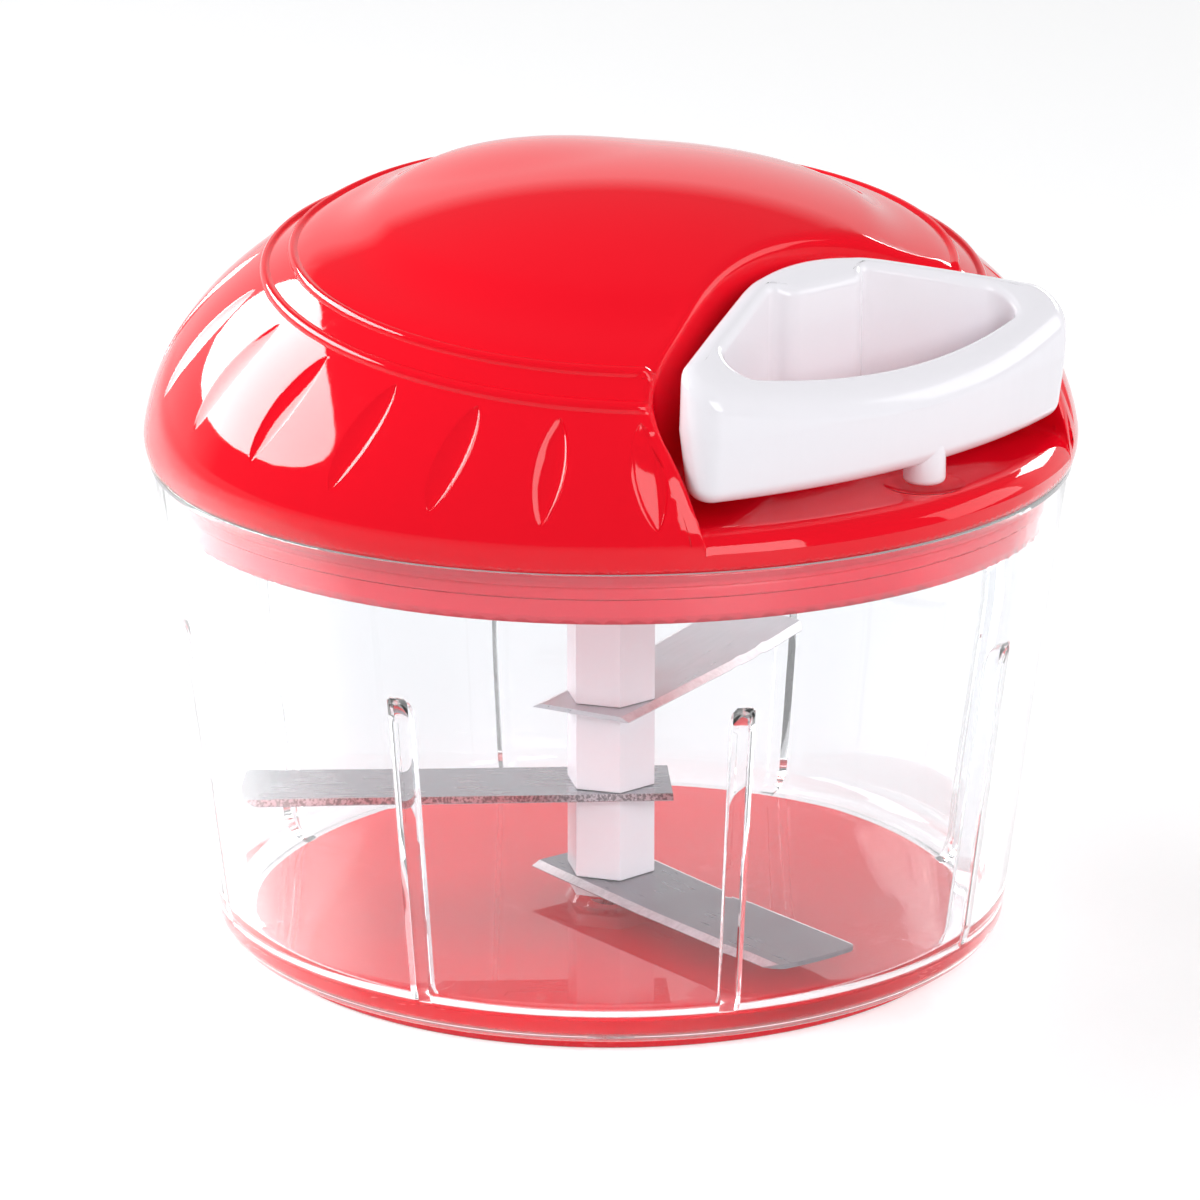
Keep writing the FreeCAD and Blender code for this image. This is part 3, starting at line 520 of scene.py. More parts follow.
screw_sizes = {"Head Radius": screw_head_radius * MM, "Head Depth": screw_head_depth * MM,
               "Shank Radius": screw_shank * MM, "Shank Length": (screw_high - screw_low) * MM,
               "Socket Radius": screw_shank * MM, "Socket Depth": 2 * socket_depth * MM}
screw_tree, screw_in, screw_sockets = length_tree("socket_screws", screw_sizes)
half_head = maths(screw_tree, "MULTIPLY", screw_in["Head Depth"], 0.5)
half_shank = maths(screw_tree, "MULTIPLY", screw_in["Shank Length"], 0.5)
head = round_bar(screw_tree, screw_in["Head Radius"], screw_in["Head Depth"], half_head, 48)
shank = round_bar(screw_tree, screw_in["Shank Radius"], screw_in["Shank Length"], half_shank, 24)
hexagon = round_bar(screw_tree, screw_in["Socket Radius"], screw_in["Socket Depth"], 0.0, 6)
joined = added(screw_tree, "GeometryNodeMeshBoolean", {"Mesh 2": head}, operation="UNION")
screw_tree.links.new(shank, joined.inputs["Mesh 2"])
cut = added(screw_tree, "GeometryNodeMeshBoolean", {"Mesh 1": joined.outputs["Mesh"], "Mesh 2": hexagon},
            operation="DIFFERENCE")
stood_on_points(screw_tree, screw_in["Geometry"], cut.outputs["Mesh"], plain_steel)
grown("cover_fixings", [(x, y, screw_low) for x, y in screw_places], screw_tree, screw_sockets, screw_sizes,
      "lid", "steel", "cover_screws")

# ---- Drive hub, bush and axle ---------------------------------------------
# A white acetal hub with a six-sided socket turns in a slick bush pressed into
# the cover; a steel axle keeps it and the reel in line.
hub_plastic = moulded("hub_plastic", (0.74, 0.73, 0.72), 0.04, 0.3, 0.1, 0.05)
slick_plastic = moulded("slick_plastic", (0.62, 0.62, 0.60), 0.06, 0.4, 0.1, 0.08)
smooth_copy("drive_hub", "drive_socket", "off_white_plastic", hub_plastic)
smooth_copy("hub_bush", "socket_bush", "bearing_plastic", slick_plastic)
smooth_copy("reel_axle", "reel_pin", "steel", plain_steel)

# ---- Cord reel and recoil spring ------------------------------------------
# The moulded drum that the cord winds on has a cup for the coiled spring, a
# strip of blued steel, and a flat lid that keeps the spring in.
smooth_copy("cord_reel", "cord_drum", "bearing_plastic", slick_plastic)
smooth_copy("reel_cover", "drum_lid", "bearing_plastic", slick_plastic)
spring_strip = steel("spring_strip", (0.20, 0.22, 0.28), 0.32, (1, 1, 14))
smooth_copy("recoil_spring", "coiled_strip", "spring_steel", spring_strip)

# ---- Cord -----------------------------------------------------------------
# A laid polyester cord: five turns on the drum, a run to the eyelet, and the
# run from there to its knot in the handle.
cord_radius, cord_level, cord_inner_end, cord_outer_end = 1.0, 104.0, 38.0, 43.7
drum_turns, lay_turns, strand_relief, strands, full_pull = 5.0, 60, 0.12, 3, 300.0
cord_rings, cord_sides, pull_steps = 721, 18, 20001
laid_cord = moulded("laid_cord", (0.80, 0.79, 0.76), 0.2, 0.7, 0.1, 0.4)

turns_low, turns_high = (corner.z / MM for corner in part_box("wound_cord"))
turns_sizes = {"Wound Radius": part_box("wound_cord")[1].x - cord_radius * MM, "Cord Radius": cord_radius * MM,
               "Rise": (turns_high - turns_low - 2 * cord_radius) * MM}
turns_tree, turns_in, turns_sockets = length_tree("cord_turns", turns_sizes)
coil = added(turns_tree, "GeometryNodeCurveSpiral", {
    "Resolution": 72, "Rotations": drum_turns, "Start Radius": turns_in["Wound Radius"],
    "End Radius": turns_in["Wound Radius"], "Height": turns_in["Rise"]})
section = added(turns_tree, "GeometryNodeCurvePrimitiveCircle", {
    "Resolution": 14, "Radius": turns_in["Cord Radius"]})
swept = added(turns_tree, "GeometryNodeCurveToMesh", {
    "Curve": coil.outputs["Curve"], "Profile Curve": section.outputs["Curve"], "Fill Caps": True})
stood_on_points(turns_tree, turns_in["Geometry"], swept.outputs["Mesh"], laid_cord)
grown("cord_on_drum", [(0, 0, turns_low + cord_radius)], turns_tree, turns_sockets, turns_sizes,
      "reel", "cord", "wound_cord")
smooth_copy("cord_run", "cord_inside", "cord", laid_cord)
smooth_copy("cord_knot", "cord_end_knot", "cord", laid_cord)

# Rings are even along the cord when it is out, so that its lay stays even there
held = np.linspace(0, 1, pull_steps)
reached = held * (cord_outer_end - cord_inner_end) + held ** 2 * (3 - 2 * held) * full_pull
out_share = np.linspace(0, 1, cord_rings)
rest_share = np.interp(out_share, reached / reached[-1], held)
cord_points = []
for out, rest in zip(out_share, rest_share):
    y = cord_inner_end + (cord_outer_end - cord_inner_end) * rest
    for a in np.linspace(0, 2 * math.pi, cord_sides, endpoint=False):
        strand = abs(math.cos(strands / 2 * (a - 2 * math.pi * lay_turns * out)))
        r = cord_radius - strand_relief * (1 - strand)
        cord_points.append((r * math.cos(a), -y, cord_level + r * math.sin(a)))
cord_faces = grid_faces(cord_rings, cord_sides, closed=False)
cord_faces += [range(cord_sides), range(len(cord_points) - 1, len(cord_points) - cord_sides - 1, -1)]
cord_to_handle = new_piece("cord_to_handle", cord_points, cord_faces)
cleaned(cord_to_handle.data, 1e-7)
cord_to_handle.data.materials.append(laid_cord)
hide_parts("handle_cord")
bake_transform(cord_to_handle)

# ---- Lid shell ------------------------------------------------------------
# The glossy red dome, injection-moulded as one thin shell: two fine beads round
# its crown, leaf-shaped finger flutes and a bay in front for the handle.
lid_radius, dome_equator, dome_rise, dome_power, lid_edge = 76.0, 81.4, 48.3, 2.04, 82.3
bead_centre = np.array((-4.3, -7.7))
bead_radii = (57.3, 52.8)
bead_half, bead_height = 0.8, 0.75
crown_swell, swell_back, swell_radius = 1.3, 28.0, 27.0
crown_dip, dip_half, dip_gap = 0.75, 6.5, 1.5
edge_tuck, edge_roll, lid_wall = 0.9, 4.5, 2.0
flute_first, flute_count = 37.6, 11
flute_depth, flute_half, flute_steep = 0.8, 2.6, 0.45
flute_gap, flute_low, flute_climb, flute_lean, lean_turn = 1.7, 5.7, 4.4, 5.1, 3.9

# The dome's section, with closer points near its edge, where it falls steeply
out_part = np.linspace(0, 1, 4001)[:-1]
out_part = np.concatenate([out_part * 0.96, 0.96 + 0.0399 * np.linspace(0, 1, 3000) ** 0.5])
dome_r = lid_radius * out_part
dome_z = dome_equator + dome_rise * (1 - out_part ** dome_power) ** (1 / dome_power)
dome_s = np.concatenate([[0], np.cumsum(np.hypot(np.diff(dome_r), np.diff(dome_z)))])
keep = dome_z >= lid_edge - 0.01
dome_r, dome_z, dome_s = dome_r[keep], dome_z[keep], dome_s[keep]
slope_r, slope_z = np.gradient(dome_r, dome_s), np.gradient(dome_z, dome_s)


def plan(r, phi):
    """Where a radius and a heading from the handle lie, seen from above."""
    return r * np.sin(phi), -r * np.cos(phi)


def polar(x, y):
    """The radius and the heading from the handle of a place seen from above."""
    return np.hypot(x, y), np.arctan2(x, -y)


def s_of_height(z):
    """Distance along the dome from its crown to a height."""
    return float(np.interp(-z, -dome_z, dome_s))


def s_of_radius(r):
    """Distance along the dome from its crown to a radius."""
    return np.interp(r, dome_r, dome_s)


edge_s = s_of_height(lid_edge)
flutes = []
for side in (-1, 1):
    for k in range(flute_count):
        low_heading = flute_first + (180.0 - flute_first) / (flute_count - 0.5) * k
        turn = math.radians(low_heading)
        lean = flute_lean * math.sin(turn) * (1 - lean_turn * math.cos(turn) ** 4)
        top = side * math.radians(low_heading - lean)
        direction = np.array((math.sin(top), -math.cos(top)))
        aside = bead_centre[0] * direction[1] - bead_centre[1] * direction[0]
        reach = bead_centre @ direction + math.sqrt((bead_radii[0] + flute_gap) ** 2 - aside ** 2)
        bottom = lid_edge + flute_low + flute_climb * (1 - math.cos(turn))
        flutes.append((side * turn, s_of_height(bottom), top, float(s_of_radius(reach)), side))


def leaf(t):
    """Half width of a flute from its bottom, 0, to its top, 1, as a share of its widest."""
    return np.clip(4 * t * (1 - t), 1e-6, 1) ** 0.75


def in_flute(s, phi, flute):
    """How far up a flute a place is, from 0 to 1, and its angle from the flute's middle line."""
    phi_low, s_low, phi_high, s_high, _ = flute
    t = (s - s_low) / (s_high - s_low)
    return t, (phi - phi_low - (phi_high - phi_low) * t + math.pi) % (2 * math.pi) - math.pi


def dome_points(s, phi):
    """Points of the dome at a distance from the crown and a heading from the handle."""
    s, phi = np.asarray(s, float), np.asarray(phi, float)
    r, z = np.interp(s, dome_s, dome_r), np.interp(s, dome_s, dome_z)
    x, y = plan(r, phi)
    lift = crown_swell * np.clip(1 - (x ** 2 + (y - swell_back) ** 2) / swell_radius ** 2, 0, 1) ** 2
    away = np.hypot(x - bead_centre[0], y - bead_centre[1])
    inside_bead = (bead_radii[1] - dip_gap - dip_half - away) / dip_half
    lift -= crown_dip * np.clip(1 - inside_bead ** 2, 0, 1) ** 2
    lift -= edge_tuck * np.clip((s - edge_s + edge_roll) / edge_roll, 0, 1) ** 2
    for radius in bead_radii:
        lift += bead_height * np.clip(1 - ((away - radius) / bead_half) ** 2, 0, 1)
    for flute in flutes:
        t, gap = in_flute(s, phi, flute)
        off = -flute[-1] * r * gap / (flute_half * leaf(t))
        from_floor = (off - 1 + flute_steep) / np.where(off > 1 - flute_steep, flute_steep, 2 - flute_steep)
        dip = flute_depth * np.clip(4 * t * (1 - t), 0, 1) ** 0.5 * (1 - from_floor ** 2)
        lift = np.where((t > 0) & (t < 1) & (np.abs(off) < 1), -dip, lift)
    nr, nz = -np.interp(s, dome_s, slope_z), np.interp(s, dome_s, slope_r)
    out, back = plan(lift * nr, phi)
    return np.stack([x + out, y + back, z + lift * nz], -1)


# The bay's outline in plan, leaning outwards from its floor to its ceiling
bay_draft, bay_floor, bay_ceiling = 0.05, 88.4, 139.7
bay_half, bay_side_out, bay_back, bay_mouth_half, bay_mouth_out = 42.6, 49.6, 35.5, 43.8, 91.0
bay_corner, bay_back_curve = 7.0, 60.0


def bay_outline(height):
    """Dense line of the bay's wall at a height."""
    inward = bay_draft * (bay_ceiling - height)
    x, y, mouth = bay_half - inward, bay_side_out + inward, bay_mouth_half - inward
    line = arc_line([(mouth, bay_mouth_out, 0), (x, y, bay_corner), (0, bay_back + inward, bay_back_curve),
                     (-x, y, bay_corner), (-mouth, bay_mouth_out, 0)], 40)
    # The straight runs between the arcs get points of their own
    whole = []
    for i in range(len(line) - 1):
        parts = 90 if i in (0, len(line) - 2) else 40 if i in (41, 82) else 1
        whole += [line[i] + (line[i + 1] - line[i]) * k / parts for k in range(parts)]
    whole = np.array(whole + [line[-1]])
    return np.stack([whole[:, 0], -whole[:, 1]], -1)


low_line, high_line = bay_outline(bay_floor), bay_outline(bay_ceiling)
lip_height, lip_rounding = 84.4, 4.0
lip_radius = float(np.interp(-lip_height, -dome_z, dome_r))
flat_radius = lip_radius - lip_rounding


def wall_line(z):
    """The bay's line with each point at its own height."""
    t = ((np.asarray(z) - bay_floor) / (bay_ceiling - bay_floor))[:, None]
    return low_line + (high_line - low_line) * t


# The wall leans, so each end of it is found by turns with its height
upper_z = np.full(len(low_line), 110.0)
lower_z = np.full(len(low_line), bay_floor)
for _ in range(30):
    upper = wall_line(upper_z)
    upper_z = np.interp(np.minimum(np.hypot(*upper.T), lid_radius), dome_r, dome_z)
    lower = wall_line(lower_z)
    over = np.clip(np.hypot(*lower.T) - flat_radius, 0, lip_rounding)
    lower_z = bay_floor - lip_rounding + np.sqrt(lip_rounding ** 2 - over ** 2)
within = np.hypot(*lower.T) < lip_radius - 0.02
upper, lower, upper_z, lower_z = (row[within] for row in (upper, lower, upper_z, lower_z))
wall = np.clip(upper_z - lower_z, 0, None)
along = np.gradient(upper, axis=0)
along /= np.linalg.norm(along, axis=1)[:, None]
outward = np.stack([-along[:, 1], along[:, 0]], -1)
if outward[len(outward) // 2][1] < 0:
    outward = -outward
edge_round, foot_round = np.minimum(1.8, wall * 0.35), np.minimum(1.6, wall * 0.35)
rim = upper + outward * edge_round[:, None]
rim_r, rim_phi = polar(*rim.T)
rim_s = s_of_radius(rim_r)
rim_points = dome_points(rim_s, rim_phi)
top_corner, foot_corner = np.column_stack([upper, upper_z]), np.column_stack([lower, lower_z])
wall_top = np.column_stack([upper - outward * (bay_draft * edge_round)[:, None], upper_z - edge_round])
wall_foot = np.column_stack([lower, lower_z + foot_round])
floor_r, floor_phi = polar(*(lower - outward * foot_round[:, None]).T)
peg_across, peg_out, scoop_radius, scoop_depth = 4.0, 66.9, 18.0, 1.2


def floor_s_of(r):
    """Distance along the bay's floor and over its lip, at a radius."""
    over = np.clip((r - flat_radius) / lip_rounding, 0, 1)
    return np.where(r < flat_radius, r, flat_radius + lip_rounding * np.arcsin(over))


def floor_points(s, phi):
    """Points of the bay's floor and its rounded lip, with the finger scoop."""
    s, phi = np.asarray(s, float), np.asarray(phi, float)
    bend = np.clip((s - flat_radius) / lip_rounding, 0, math.pi / 2)
    r = np.where(s < flat_radius, s, flat_radius + lip_rounding * np.sin(bend))
    z = bay_floor - lip_rounding * (1 - np.cos(bend))
    x, y = plan(r, phi)
    away = np.hypot(x - peg_across, y + peg_out)
    scoop = bay_floor - scoop_depth + scoop_radius - np.sqrt(np.clip(scoop_radius ** 2 - away ** 2, 0, None))
    return np.stack([x, y, np.minimum(z, np.where(away < scoop_radius, scoop, 999))], -1)


floor_s = floor_s_of(floor_r)
floor_line = floor_points(floor_s, floor_phi)
lip_s = flat_radius + lip_rounding * math.pi / 2
lip_ends = [polar(*upper[k])[1] for k in (-1, 0)]


def crossing(places, outline):
    """True for each place inside a closed outline."""
    result = np.zeros(len(places), bool)
    x, y = places.T
    for a, b in zip(outline, np.roll(outline, -1, axis=0)):
        cuts = (a[1] > y) != (b[1] > y)
        if cuts.any():
            at = a[0] + (y - a[1]) / (b[1] - a[1] + 1e-30) * (b[0] - a[0])
            result ^= cuts & (x < at)
    return result


def meshed(outlines, scatter, surface, spare):
    """Triangles between the first outline and the others, through scattered points."""
    maps = [np.stack(plan(s, phi), -1) for s, phi, points in outlines]
    loose = np.stack(plan(*scatter), -1)
    clear = crossing(loose, maps[0])
    for hole in maps[1:]:
        clear &= ~crossing(loose, hole)
    for edge in np.array_split(np.concatenate(maps), 24):
        clear &= np.min(np.linalg.norm(loose[:, None] - edge[None], axis=2), axis=1) > spare
    s, phi = scatter[0][clear], scatter[1][clear]
    points = np.concatenate([points for _, _, points in outlines] + [surface(s, phi)])
    flat = np.concatenate(maps + [loose[clear]])
    edges = []
    start = 0
    for ring in maps:
        edges += [(start + i, start + (i + 1) % len(ring)) for i in range(len(ring))]
        start += len(ring)
    found = geometry.delaunay_2d_cdt([Vector(p) for p in flat], edges, [], 0, 1e-5, True)
    source = np.array([ids[0] if ids else -1 for ids in found[3]])
    triangles = np.array([f for f in found[2] if len(f) == 3])
    middle = np.array(found[0])[triangles].mean(1)
    inside = crossing(middle, maps[0])
    for hole in maps[1:]:
        inside &= ~crossing(middle, hole)
    return points, source[triangles[inside]]


# Rings of points over the dome, with finer rows along the beads and the flutes
dome_scatter = []
for s in np.append(np.arange(1.5, edge_s - 4.6, 1.5), edge_s - np.arange(4.2, 0.5, -0.6)):
    r = np.interp(s, dome_s, dome_r)
    phi = np.linspace(-math.pi, math.pi, max(8, int(2 * math.pi * r / 1.5)), endpoint=False) + (s * 0.37) % 1
    phi = (phi + math.pi) % (2 * math.pi) - math.pi
    away = np.linalg.norm(np.stack(plan(r, phi), -1) - bead_centre, axis=1)
    plain = np.min([np.abs(away - radius) for radius in bead_radii], axis=0) > 1.9
    for flute in flutes:
        t, gap = in_flute(s, phi, flute)
        if -0.04 < t < 1.04:
            plain &= np.abs(r * gap) > flute_half + 1.3
    dome_scatter.append((np.full(plain.sum(), s), phi[plain]))
for radius in bead_radii:
    turn = np.linspace(0, 2 * math.pi, 400, endpoint=False)
    for off in (-1.5, -1.0, -0.8, -0.55, -0.28, 0, 0.28, 0.55, 0.8, 1.0, 1.5):
        r, phi = polar(bead_centre[0] + (radius + off) * np.cos(turn),
                       bead_centre[1] + (radius + off) * np.sin(turn))
        dome_scatter.append((s_of_radius(r), phi))
for phi_low, s_low, phi_high, s_high, side in flutes:
    t = (1 - np.cos(np.linspace(0.08, math.pi - 0.08, 40))) / 2
    s = s_low + (s_high - s_low) * t
    r = np.interp(s, dome_s, dome_r)
    width = flute_half * leaf(t)
    middle = phi_low + (phi_high - phi_low) * t
    for off in (-1.0, -0.85, -0.5, -0.1, 0.3, 0.55, 0.7, 0.85, 0.95, 1.0):
        dome_scatter.append((s, middle - side * off * width / r))
    for off in (-1, 1):
        dome_scatter += [(s, middle + off * (width + 0.15) / r), (s, middle + off * (width + 1.2) / r)]
    dome_scatter.append((np.array((s_low, s_high)), np.array((phi_low, phi_high))))
edge_phi = np.linspace(-math.pi, math.pi, 360, endpoint=False)
lid_edge_s = np.full(len(edge_phi), edge_s)
lip_phi = np.linspace(*lip_ends, 130)[1:-1]
lip_edge_s = np.full(len(lip_phi), s_of_height(lip_height))
lip_points = dome_points(lip_edge_s, lip_phi)
lid_outline = (lid_edge_s, edge_phi, dome_points(lid_edge_s, edge_phi))
bay_hole = (np.append(rim_s, lip_edge_s), np.append(rim_phi, lip_phi), np.concatenate([rim_points, lip_points]))
dome_mesh = meshed([lid_outline, bay_hole], np.concatenate(dome_scatter, axis=1), dome_points, 0.4)

# The bay's floor, finer round the scoop
floor_scatter = []
for s in np.arange(36.0, lip_s - 0.4, 0.9):
    phi = np.linspace(-1.2, 1.2, int(2 * s), endpoint=False)
    floor_scatter.append((np.full(len(phi), s), phi))
scoop_edge = math.sqrt(scoop_radius ** 2 - (scoop_radius - scoop_depth) ** 2)
turn = np.linspace(0, 2 * math.pi, 90, endpoint=False)
for off in (-5.5, -4.5, -3.5, -2.5, -1.7, -1.0, -0.5, -0.2, 0.0, 0.25, 0.7):
    r, phi = polar(peg_across + (scoop_edge + off) * np.cos(turn), (scoop_edge + off) * np.sin(turn) - peg_out)
    floor_scatter.append((floor_s_of(r), phi))
floor_edge = (np.append(floor_s, np.full(len(lip_phi), lip_s)), np.append(floor_phi, lip_phi),
              np.concatenate([floor_line, lip_points]))
floor_mesh = meshed([floor_edge], np.concatenate(floor_scatter, axis=1), floor_points, 0.35)

# The wall between them, with its rounded top edge and foot
rows = []
for t in np.linspace(0, 1, 7):
    rows.append((1 - t) ** 2 * rim_points + 2 * t * (1 - t) * top_corner + t ** 2 * wall_top)
for t in (0.25, 0.5, 0.75):
    rows.append(wall_top + (wall_foot - wall_top) * t)
for t in np.linspace(0, 1, 7):
    rows.append((1 - t) ** 2 * wall_foot + 2 * t * (1 - t) * foot_corner + t ** 2 * floor_line)
lid_points = np.concatenate([dome_mesh[0], floor_mesh[0]] + rows)
lid_faces = [tuple(f) for f in dome_mesh[1]] + [tuple(f + len(dome_mesh[0])) for f in floor_mesh[1]]
shift, count = len(dome_mesh[0]) + len(floor_mesh[0]), len(upper)
lip_first = len(edge_phi) + count
for i in range(len(rows) - 1):
    for k in range(count - 1):
        a, b = shift + i * count + k, shift + (i + 1) * count + k
        lid_faces.append((a, a + 1, b + 1, b))
    for k, lip_end in ((0, lip_first + len(lip_phi) - 1), (count - 1, lip_first)):
        lid_faces.append((shift + i * count + k, shift + (i + 1) * count + k, lip_end))
lid_dome = new_piece("lid_dome", lid_points, lid_faces)
cleaned(lid_dome.data, 2e-5, 1e-6, sharp=30)
if max(lid_dome.data.polygons, key=lambda face: face.center.z).normal.z < 0:
    lid_dome.data.flip_normals()
thick = lid_dome.modifiers.new("wall", "SOLIDIFY")
thick.thickness = lid_wall * MM
thick.offset = -1.0
lid_red = moulded("lid_gloss_red", (0.90, 0.003, 0.016), 0.05, 0.04, 0.1, 0.01, IOR=1.39)
fitted(lid_dome, "lid", "red_plastic", "lid_shell", lid_red)

# ---- Handle ---------------------------------------------------------------
# A white finger loop, moulded in one piece with a cord boss inside its back
# and a peg under its front that parks in the lid's scoop.
handle_bottom, handle_split, draft_above, draft_below = 92.0, 103.0, 0.03, 0.12
handle_apex, handle_front, handle_curve, half_width = 37.9, 71.2, 114.0, 40.4
handle_arm, back_curve, corner, front_wall, back_wall = 0.48, 38.0, 4.8, 5.2, 4.0
boss_front, boss_half, boss_flank = 49.4, 7.3, math.tan(math.radians(40))
boss_corner, root_corner, tip_inner_corner, outer_round, inner_round = 4.5, 2.4, 3.4, 2.7, 1.3
top_at_front, top_rise, top_bend, hole_waist = 104.9, 0.665, 0.0034, 100.5
peg_radius, peg_roll, peg_gap, peg_top = 3.3, 0.9, 0.35, 95


def front_arc(front, curve, run):
    """Slope of the front's flanks, and the corner that its shallow rounding reaches from."""
    tilt = math.asin(run / curve)
    return math.tan(tilt), front + curve * (1 / math.cos(tilt) - 1)


slope, peak = front_arc(handle_front, handle_curve, half_width - corner)
side_back, side_front = handle_apex + handle_arm * half_width, peak - half_width * slope
outer_corners = [
    (0, handle_apex, back_curve), (half_width, side_back, corner), (half_width, side_front, corner),
    (0, peak, handle_curve), (-half_width, side_front, corner), (-half_width, side_back, corner)]
inner_apex = handle_apex + back_wall * math.hypot(1, handle_arm)
inner_slope, inner_peak = front_arc(handle_front - front_wall, handle_curve - front_wall,
                                    half_width - front_wall - 2 * corner)
inner_half = (inner_peak - inner_apex) / (handle_arm + inner_slope)
inner_side = inner_apex + handle_arm * inner_half
root = (boss_front + boss_flank * boss_half - inner_apex) / (boss_flank + handle_arm)
root_out = inner_apex + handle_arm * root
inner_corners = [
    (-boss_half, boss_front, boss_corner), (boss_half, boss_front, boss_corner), (root, root_out, root_corner),
    (inner_half, inner_side, tip_inner_corner), (0, inner_peak, handle_curve - front_wall),
    (-inner_half, inner_side, tip_inner_corner), (-root, root_out, root_corner)]
loop_centre = np.array((0, 62.5))


def by_heading(corners):
    """A closed outline as dense (heading, distance) pairs from the loop's middle."""
    line = arc_line([corners[-1]] + corners + [corners[0]], 24)[1:-1]
    dense = []
    for a, b in zip(line, np.roll(line, -1, axis=0)):
        parts = max(1, int(np.linalg.norm(b - a) / 0.3))
        dense += [a + (b - a) * k / parts for k in range(parts)]
    rel = np.array(dense) - loop_centre
    heading = np.arctan2(rel[:, 1], rel[:, 0])
    order = np.argsort(heading)
    return heading[order], np.hypot(*rel[order].T)


outer_heading, inner_heading = by_heading(outer_corners), by_heading(inner_corners)
headings = [-math.pi]
for heading in np.sort(np.concatenate([outer_heading[0], inner_heading[0]])):
    if heading - headings[-1] > math.radians(0.2):
        headings.append(heading)
headings = np.array(headings)


def loop_rows(line):
    """A loop's points at the shared headings, with its outward normals."""
    far = np.interp(headings, *line, period=2 * math.pi)
    points = loop_centre + np.stack([far * np.cos(headings), far * np.sin(headings)], -1)
    before = np.roll(points, 1, axis=0) - points
    after = np.roll(points, -1, axis=0) - points
    along = after / np.linalg.norm(after, axis=1)[:, None] - before / np.linalg.norm(before, axis=1)[:, None]
    along /= np.linalg.norm(along, axis=1)[:, None]
    return points, np.stack([along[:, 1], -along[:, 0]], -1)


def handle_top(out):
    """Height of the handle's curved top, which drops towards the front."""
    behind = handle_front - out
    return top_at_front + top_rise * behind - top_bend * behind ** 2


def drawn_in(height):
    """How much the outside has drawn in at a height, from the mould's draft."""
    return np.maximum(draft_above * (height - handle_split), draft_below * (handle_split - height))


outer_loop, outer_normal = loop_rows(outer_heading)
inner_loop, inner_normal = loop_rows(inner_heading)
loop_gap = np.array([np.min(np.linalg.norm(inner_loop - p, axis=1)) for p in outer_loop])
rounding = np.clip(loop_gap - inner_round - 0.1, 1.5, outer_round)
for _ in range(150):
    rounding = (np.roll(rounding, 1) + rounding + np.roll(rounding, -1)) / 3
rings = []


def ring_at(points, z):
    """Adds a ring of the handle's surface at a height, turning the outline to face the front."""
    rings.append(np.column_stack([points[:, 0], -points[:, 1], z * np.ones(len(points))]))


quarter = np.linspace(0, math.pi / 2, 8)
for a in quarter[::-1]:
    z = handle_bottom + rounding * (1 - math.sin(a))
    ring_at(outer_loop - outer_normal * (drawn_in(z) + rounding * (1 - math.cos(a)))[:, None], z)
shoulder = handle_top(outer_loop[:, 1]) - rounding
split_low = handle_split - 0.7
for z in (98.0, split_low - 0.5, split_low):
    ring_at(outer_loop - outer_normal * drawn_in(z), z)
for part in (0.1, 0.5):
    z = split_low + (shoulder - split_low) * part
    ring_at(outer_loop - outer_normal * drawn_in(z)[:, None], z)
for a in quarter:
    pulled = outer_loop - outer_normal * (drawn_in(shoulder) + rounding * (1 - math.cos(a)))[:, None]
    ring_at(pulled, handle_top(pulled[:, 1]) - rounding * (1 - math.sin(a)))
for a in quarter[::-1]:
    opened = inner_loop + inner_normal * (inner_round * (1 - math.cos(a)))
    ring_at(opened, handle_top(opened[:, 1]) - inner_round * (1 - math.sin(a)))
for off, lift in ((0.5, 0), (0.12, 0), (0.06, 0.1), (-0.06, 0.1), (-0.12, 0), (-0.5, 0)):
    ring_at(inner_loop - inner_normal * lift, hole_waist + off)
for a in quarter:
    ring_at(inner_loop + inner_normal * (inner_round * (1 - math.cos(a))),
            handle_bottom + inner_round * (1 - math.sin(a)))
handle_points = np.concatenate(rings)
handle_faces = grid_faces(len(rings), len(headings))
peg_foot, peg_columns = bay_floor + peg_gap, 48
peg_line = arc_line([(0.01, peg_foot, 0), (peg_radius, peg_foot, peg_roll), (peg_radius, peg_top, 0),
                     (0.01, peg_top, 0)], 8)
peg_points = np.array(turned_points(peg_line, peg_columns)) + np.array((peg_across, -peg_out, 0))
handle_faces += [[i + len(handle_points) for i in face] for face in grid_faces(len(peg_line), peg_columns)]
finger_handle = new_piece("finger_handle", np.concatenate([handle_points, peg_points]), handle_faces)
cleaned(finger_handle.data, 1e-7, 1e-7, sharp=40)
handle_white = moulded("handle_white", (0.92, 0.905, 0.955), 0.02, 0.1, 0.1, 0.01)
fitted(finger_handle, "handle", "white_plastic", "pull_handle", handle_white)

# ---- Cord eyelet ----------------------------------------------------------
# A white moulded bush pressed into the bay's wall.  Its rounded mouth keeps the
# cord from wearing on the lid.
eyelet_white = moulded("eyelet_white", (0.80, 0.79, 0.80), 0.03, 0.25, 0.1, 0.02)
smooth_copy("cord_eyelet", "cord_guide", "white_plastic", eyelet_white)

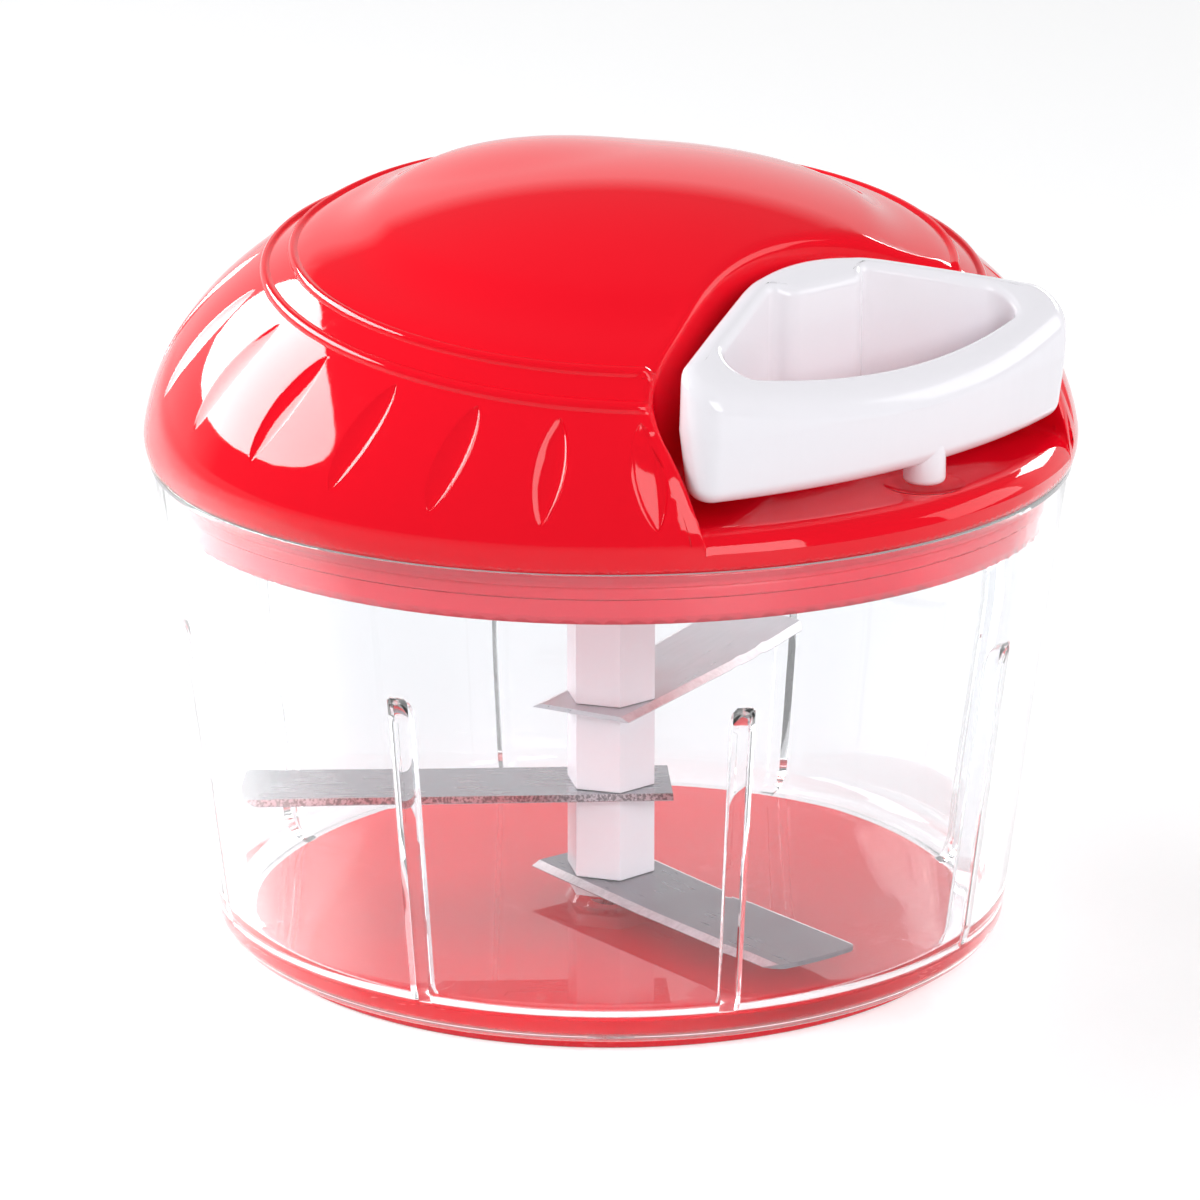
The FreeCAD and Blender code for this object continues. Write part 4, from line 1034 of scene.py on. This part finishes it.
# ---- Table, light and camera ----------------------------------------------
# A plain pale table that runs on behind, soft lights and reflecting cards round
# the object, and a camera at the height of someone seated.
table_half = 3000
table = new_piece("table", [(-table_half, -table_half, 0), (table_half, -table_half, 0),
                            (table_half, table_half, 0), (-table_half, table_half, 0)], [(0, 1, 2, 3)])
table_white = bpy.data.materials.new("table_white")
table_white.use_nodes = True
tree = table_white.node_tree
shader = tree.nodes["Principled BSDF"]
shader.inputs["Base Color"].default_value = (0.66, 0.66, 0.67, 1)
shader.inputs["Roughness"].default_value = 0.35
shader.inputs["Emission Color"].default_value = (1, 1, 1, 1)
table_glow = 0.38
rays = tree.nodes.new("ShaderNodeLightPath").outputs
seen = maths(tree, "MAXIMUM", rays["Is Camera Ray"], rays["Is Transmission Ray"])
seen = maths(tree, "MAXIMUM", seen, rays["Is Glossy Ray"])
tree.links.new(maths(tree, "MULTIPLY", seen, table_glow), shader.inputs["Emission Strength"])
table.data.materials.append(table_white)

# The world is white where it is seen, dimmer where it lights, and brighter in
# reflections low behind the object, as from a hanging paper sheet.
view_heading, world_light, gloss_less, sheet_more = math.radians(43), 0.45, 0.25, 0.75
world = bpy.data.worlds.new("studio")
bpy.context.scene.world = world
world.use_nodes = True
tree = world.node_tree
rays = tree.nodes.new("ShaderNodeLightPath").outputs
seen = maths(tree, "MAXIMUM", rays["Is Camera Ray"], rays["Is Transmission Ray"])
towards = tree.nodes.new("ShaderNodeTexCoord").outputs["Object"]
back_way = (math.sin(view_heading), math.cos(view_heading), 0)
behind = added(tree, "ShaderNodeVectorMath", {0: towards, 1: back_way}, operation="DOT_PRODUCT").outputs["Value"]
rise = added(tree, "ShaderNodeSeparateXYZ", {"Vector": towards}).outputs["Z"]
sheet = maths(tree, "MULTIPLY", value_map(tree, behind, 0.35, 0.6, 0, 1),
              value_map(tree, rise, 0.50, 0.40, 0, 1))
glossy = maths(tree, "SUBTRACT", maths(tree, "MULTIPLY", sheet, sheet_more), gloss_less)
lit = maths(tree, "ADD", world_light, maths(tree, "MULTIPLY", rays["Is Glossy Ray"], glossy))
backdrop = tree.nodes["Background"]
backdrop.inputs["Color"].default_value = (1, 1, 1, 1)
tree.links.new(maths(tree, "MAXIMUM", lit, seen), backdrop.inputs["Strength"])
light_aim = 0.09


def from_camera(right, back, up):
    """A point given as right of, behind and above the object, as the camera sees it."""
    return (right * math.cos(view_heading) + back * math.sin(view_heading),
            -right * math.sin(view_heading) + back * math.cos(view_heading), up)


def soft_light(name, place, width, height, power, shape="RECTANGLE", only_reflected=False):
    """A soft light aimed at the object, or a card that shows in its reflections alone."""
    data = bpy.data.lights.new(name, "AREA")
    data.shape = shape
    data.size, data.size_y = width, height
    data.energy = power
    lamp = bpy.data.objects.new(name, data)
    bpy.context.scene.collection.objects.link(lamp)
    lamp.location = place
    lamp.rotation_euler = (Vector((0, 0, light_aim)) - Vector(place)).to_track_quat("-Z", "Y").to_euler()
    lamp.visible_diffuse = lamp.visible_transmission = not only_reflected
    return lamp


soft_light("key", from_camera(-0.82, 0.14, 0.62), 0.95, 0.45, 8.6).visible_glossy = False
soft_light("fill", from_camera(0.5, -0.8, 0.5), 0.5, 0.5, 4.2)
soft_light("edge", from_camera(0.9, 0.15, 0.4), 0.5, 0.4, 1.5)
soft_light("card", from_camera(-0.82, 0.33, 0.52), 1.25, 0.58, 30, "ELLIPSE", True)
soft_light("rim_card", from_camera(0.60, 0.78, 0.52), 0.36, 0.22, 4, only_reflected=True)

camera_far, camera_up, aim = 1.0, math.radians(16.67), Vector((0, 0, 0.060))
camera = bpy.data.objects.new("camera", bpy.data.cameras.new("camera"))
bpy.context.scene.collection.objects.link(camera)
camera.location = aim + Vector(
    from_camera(0, -camera_far * math.cos(camera_up), camera_far * math.sin(camera_up)))
camera.rotation_euler = (aim - camera.location).to_track_quat("-Z", "Y").to_euler()
camera.data.sensor_width, camera.data.lens = 36.0, 183.5
camera.data.shift_x, camera.data.shift_y = -0.0091, -0.0219
camera.data.clip_start = 0.01
bpy.context.scene.camera = camera
bpy.context.scene.view_settings.view_transform = "Standard"
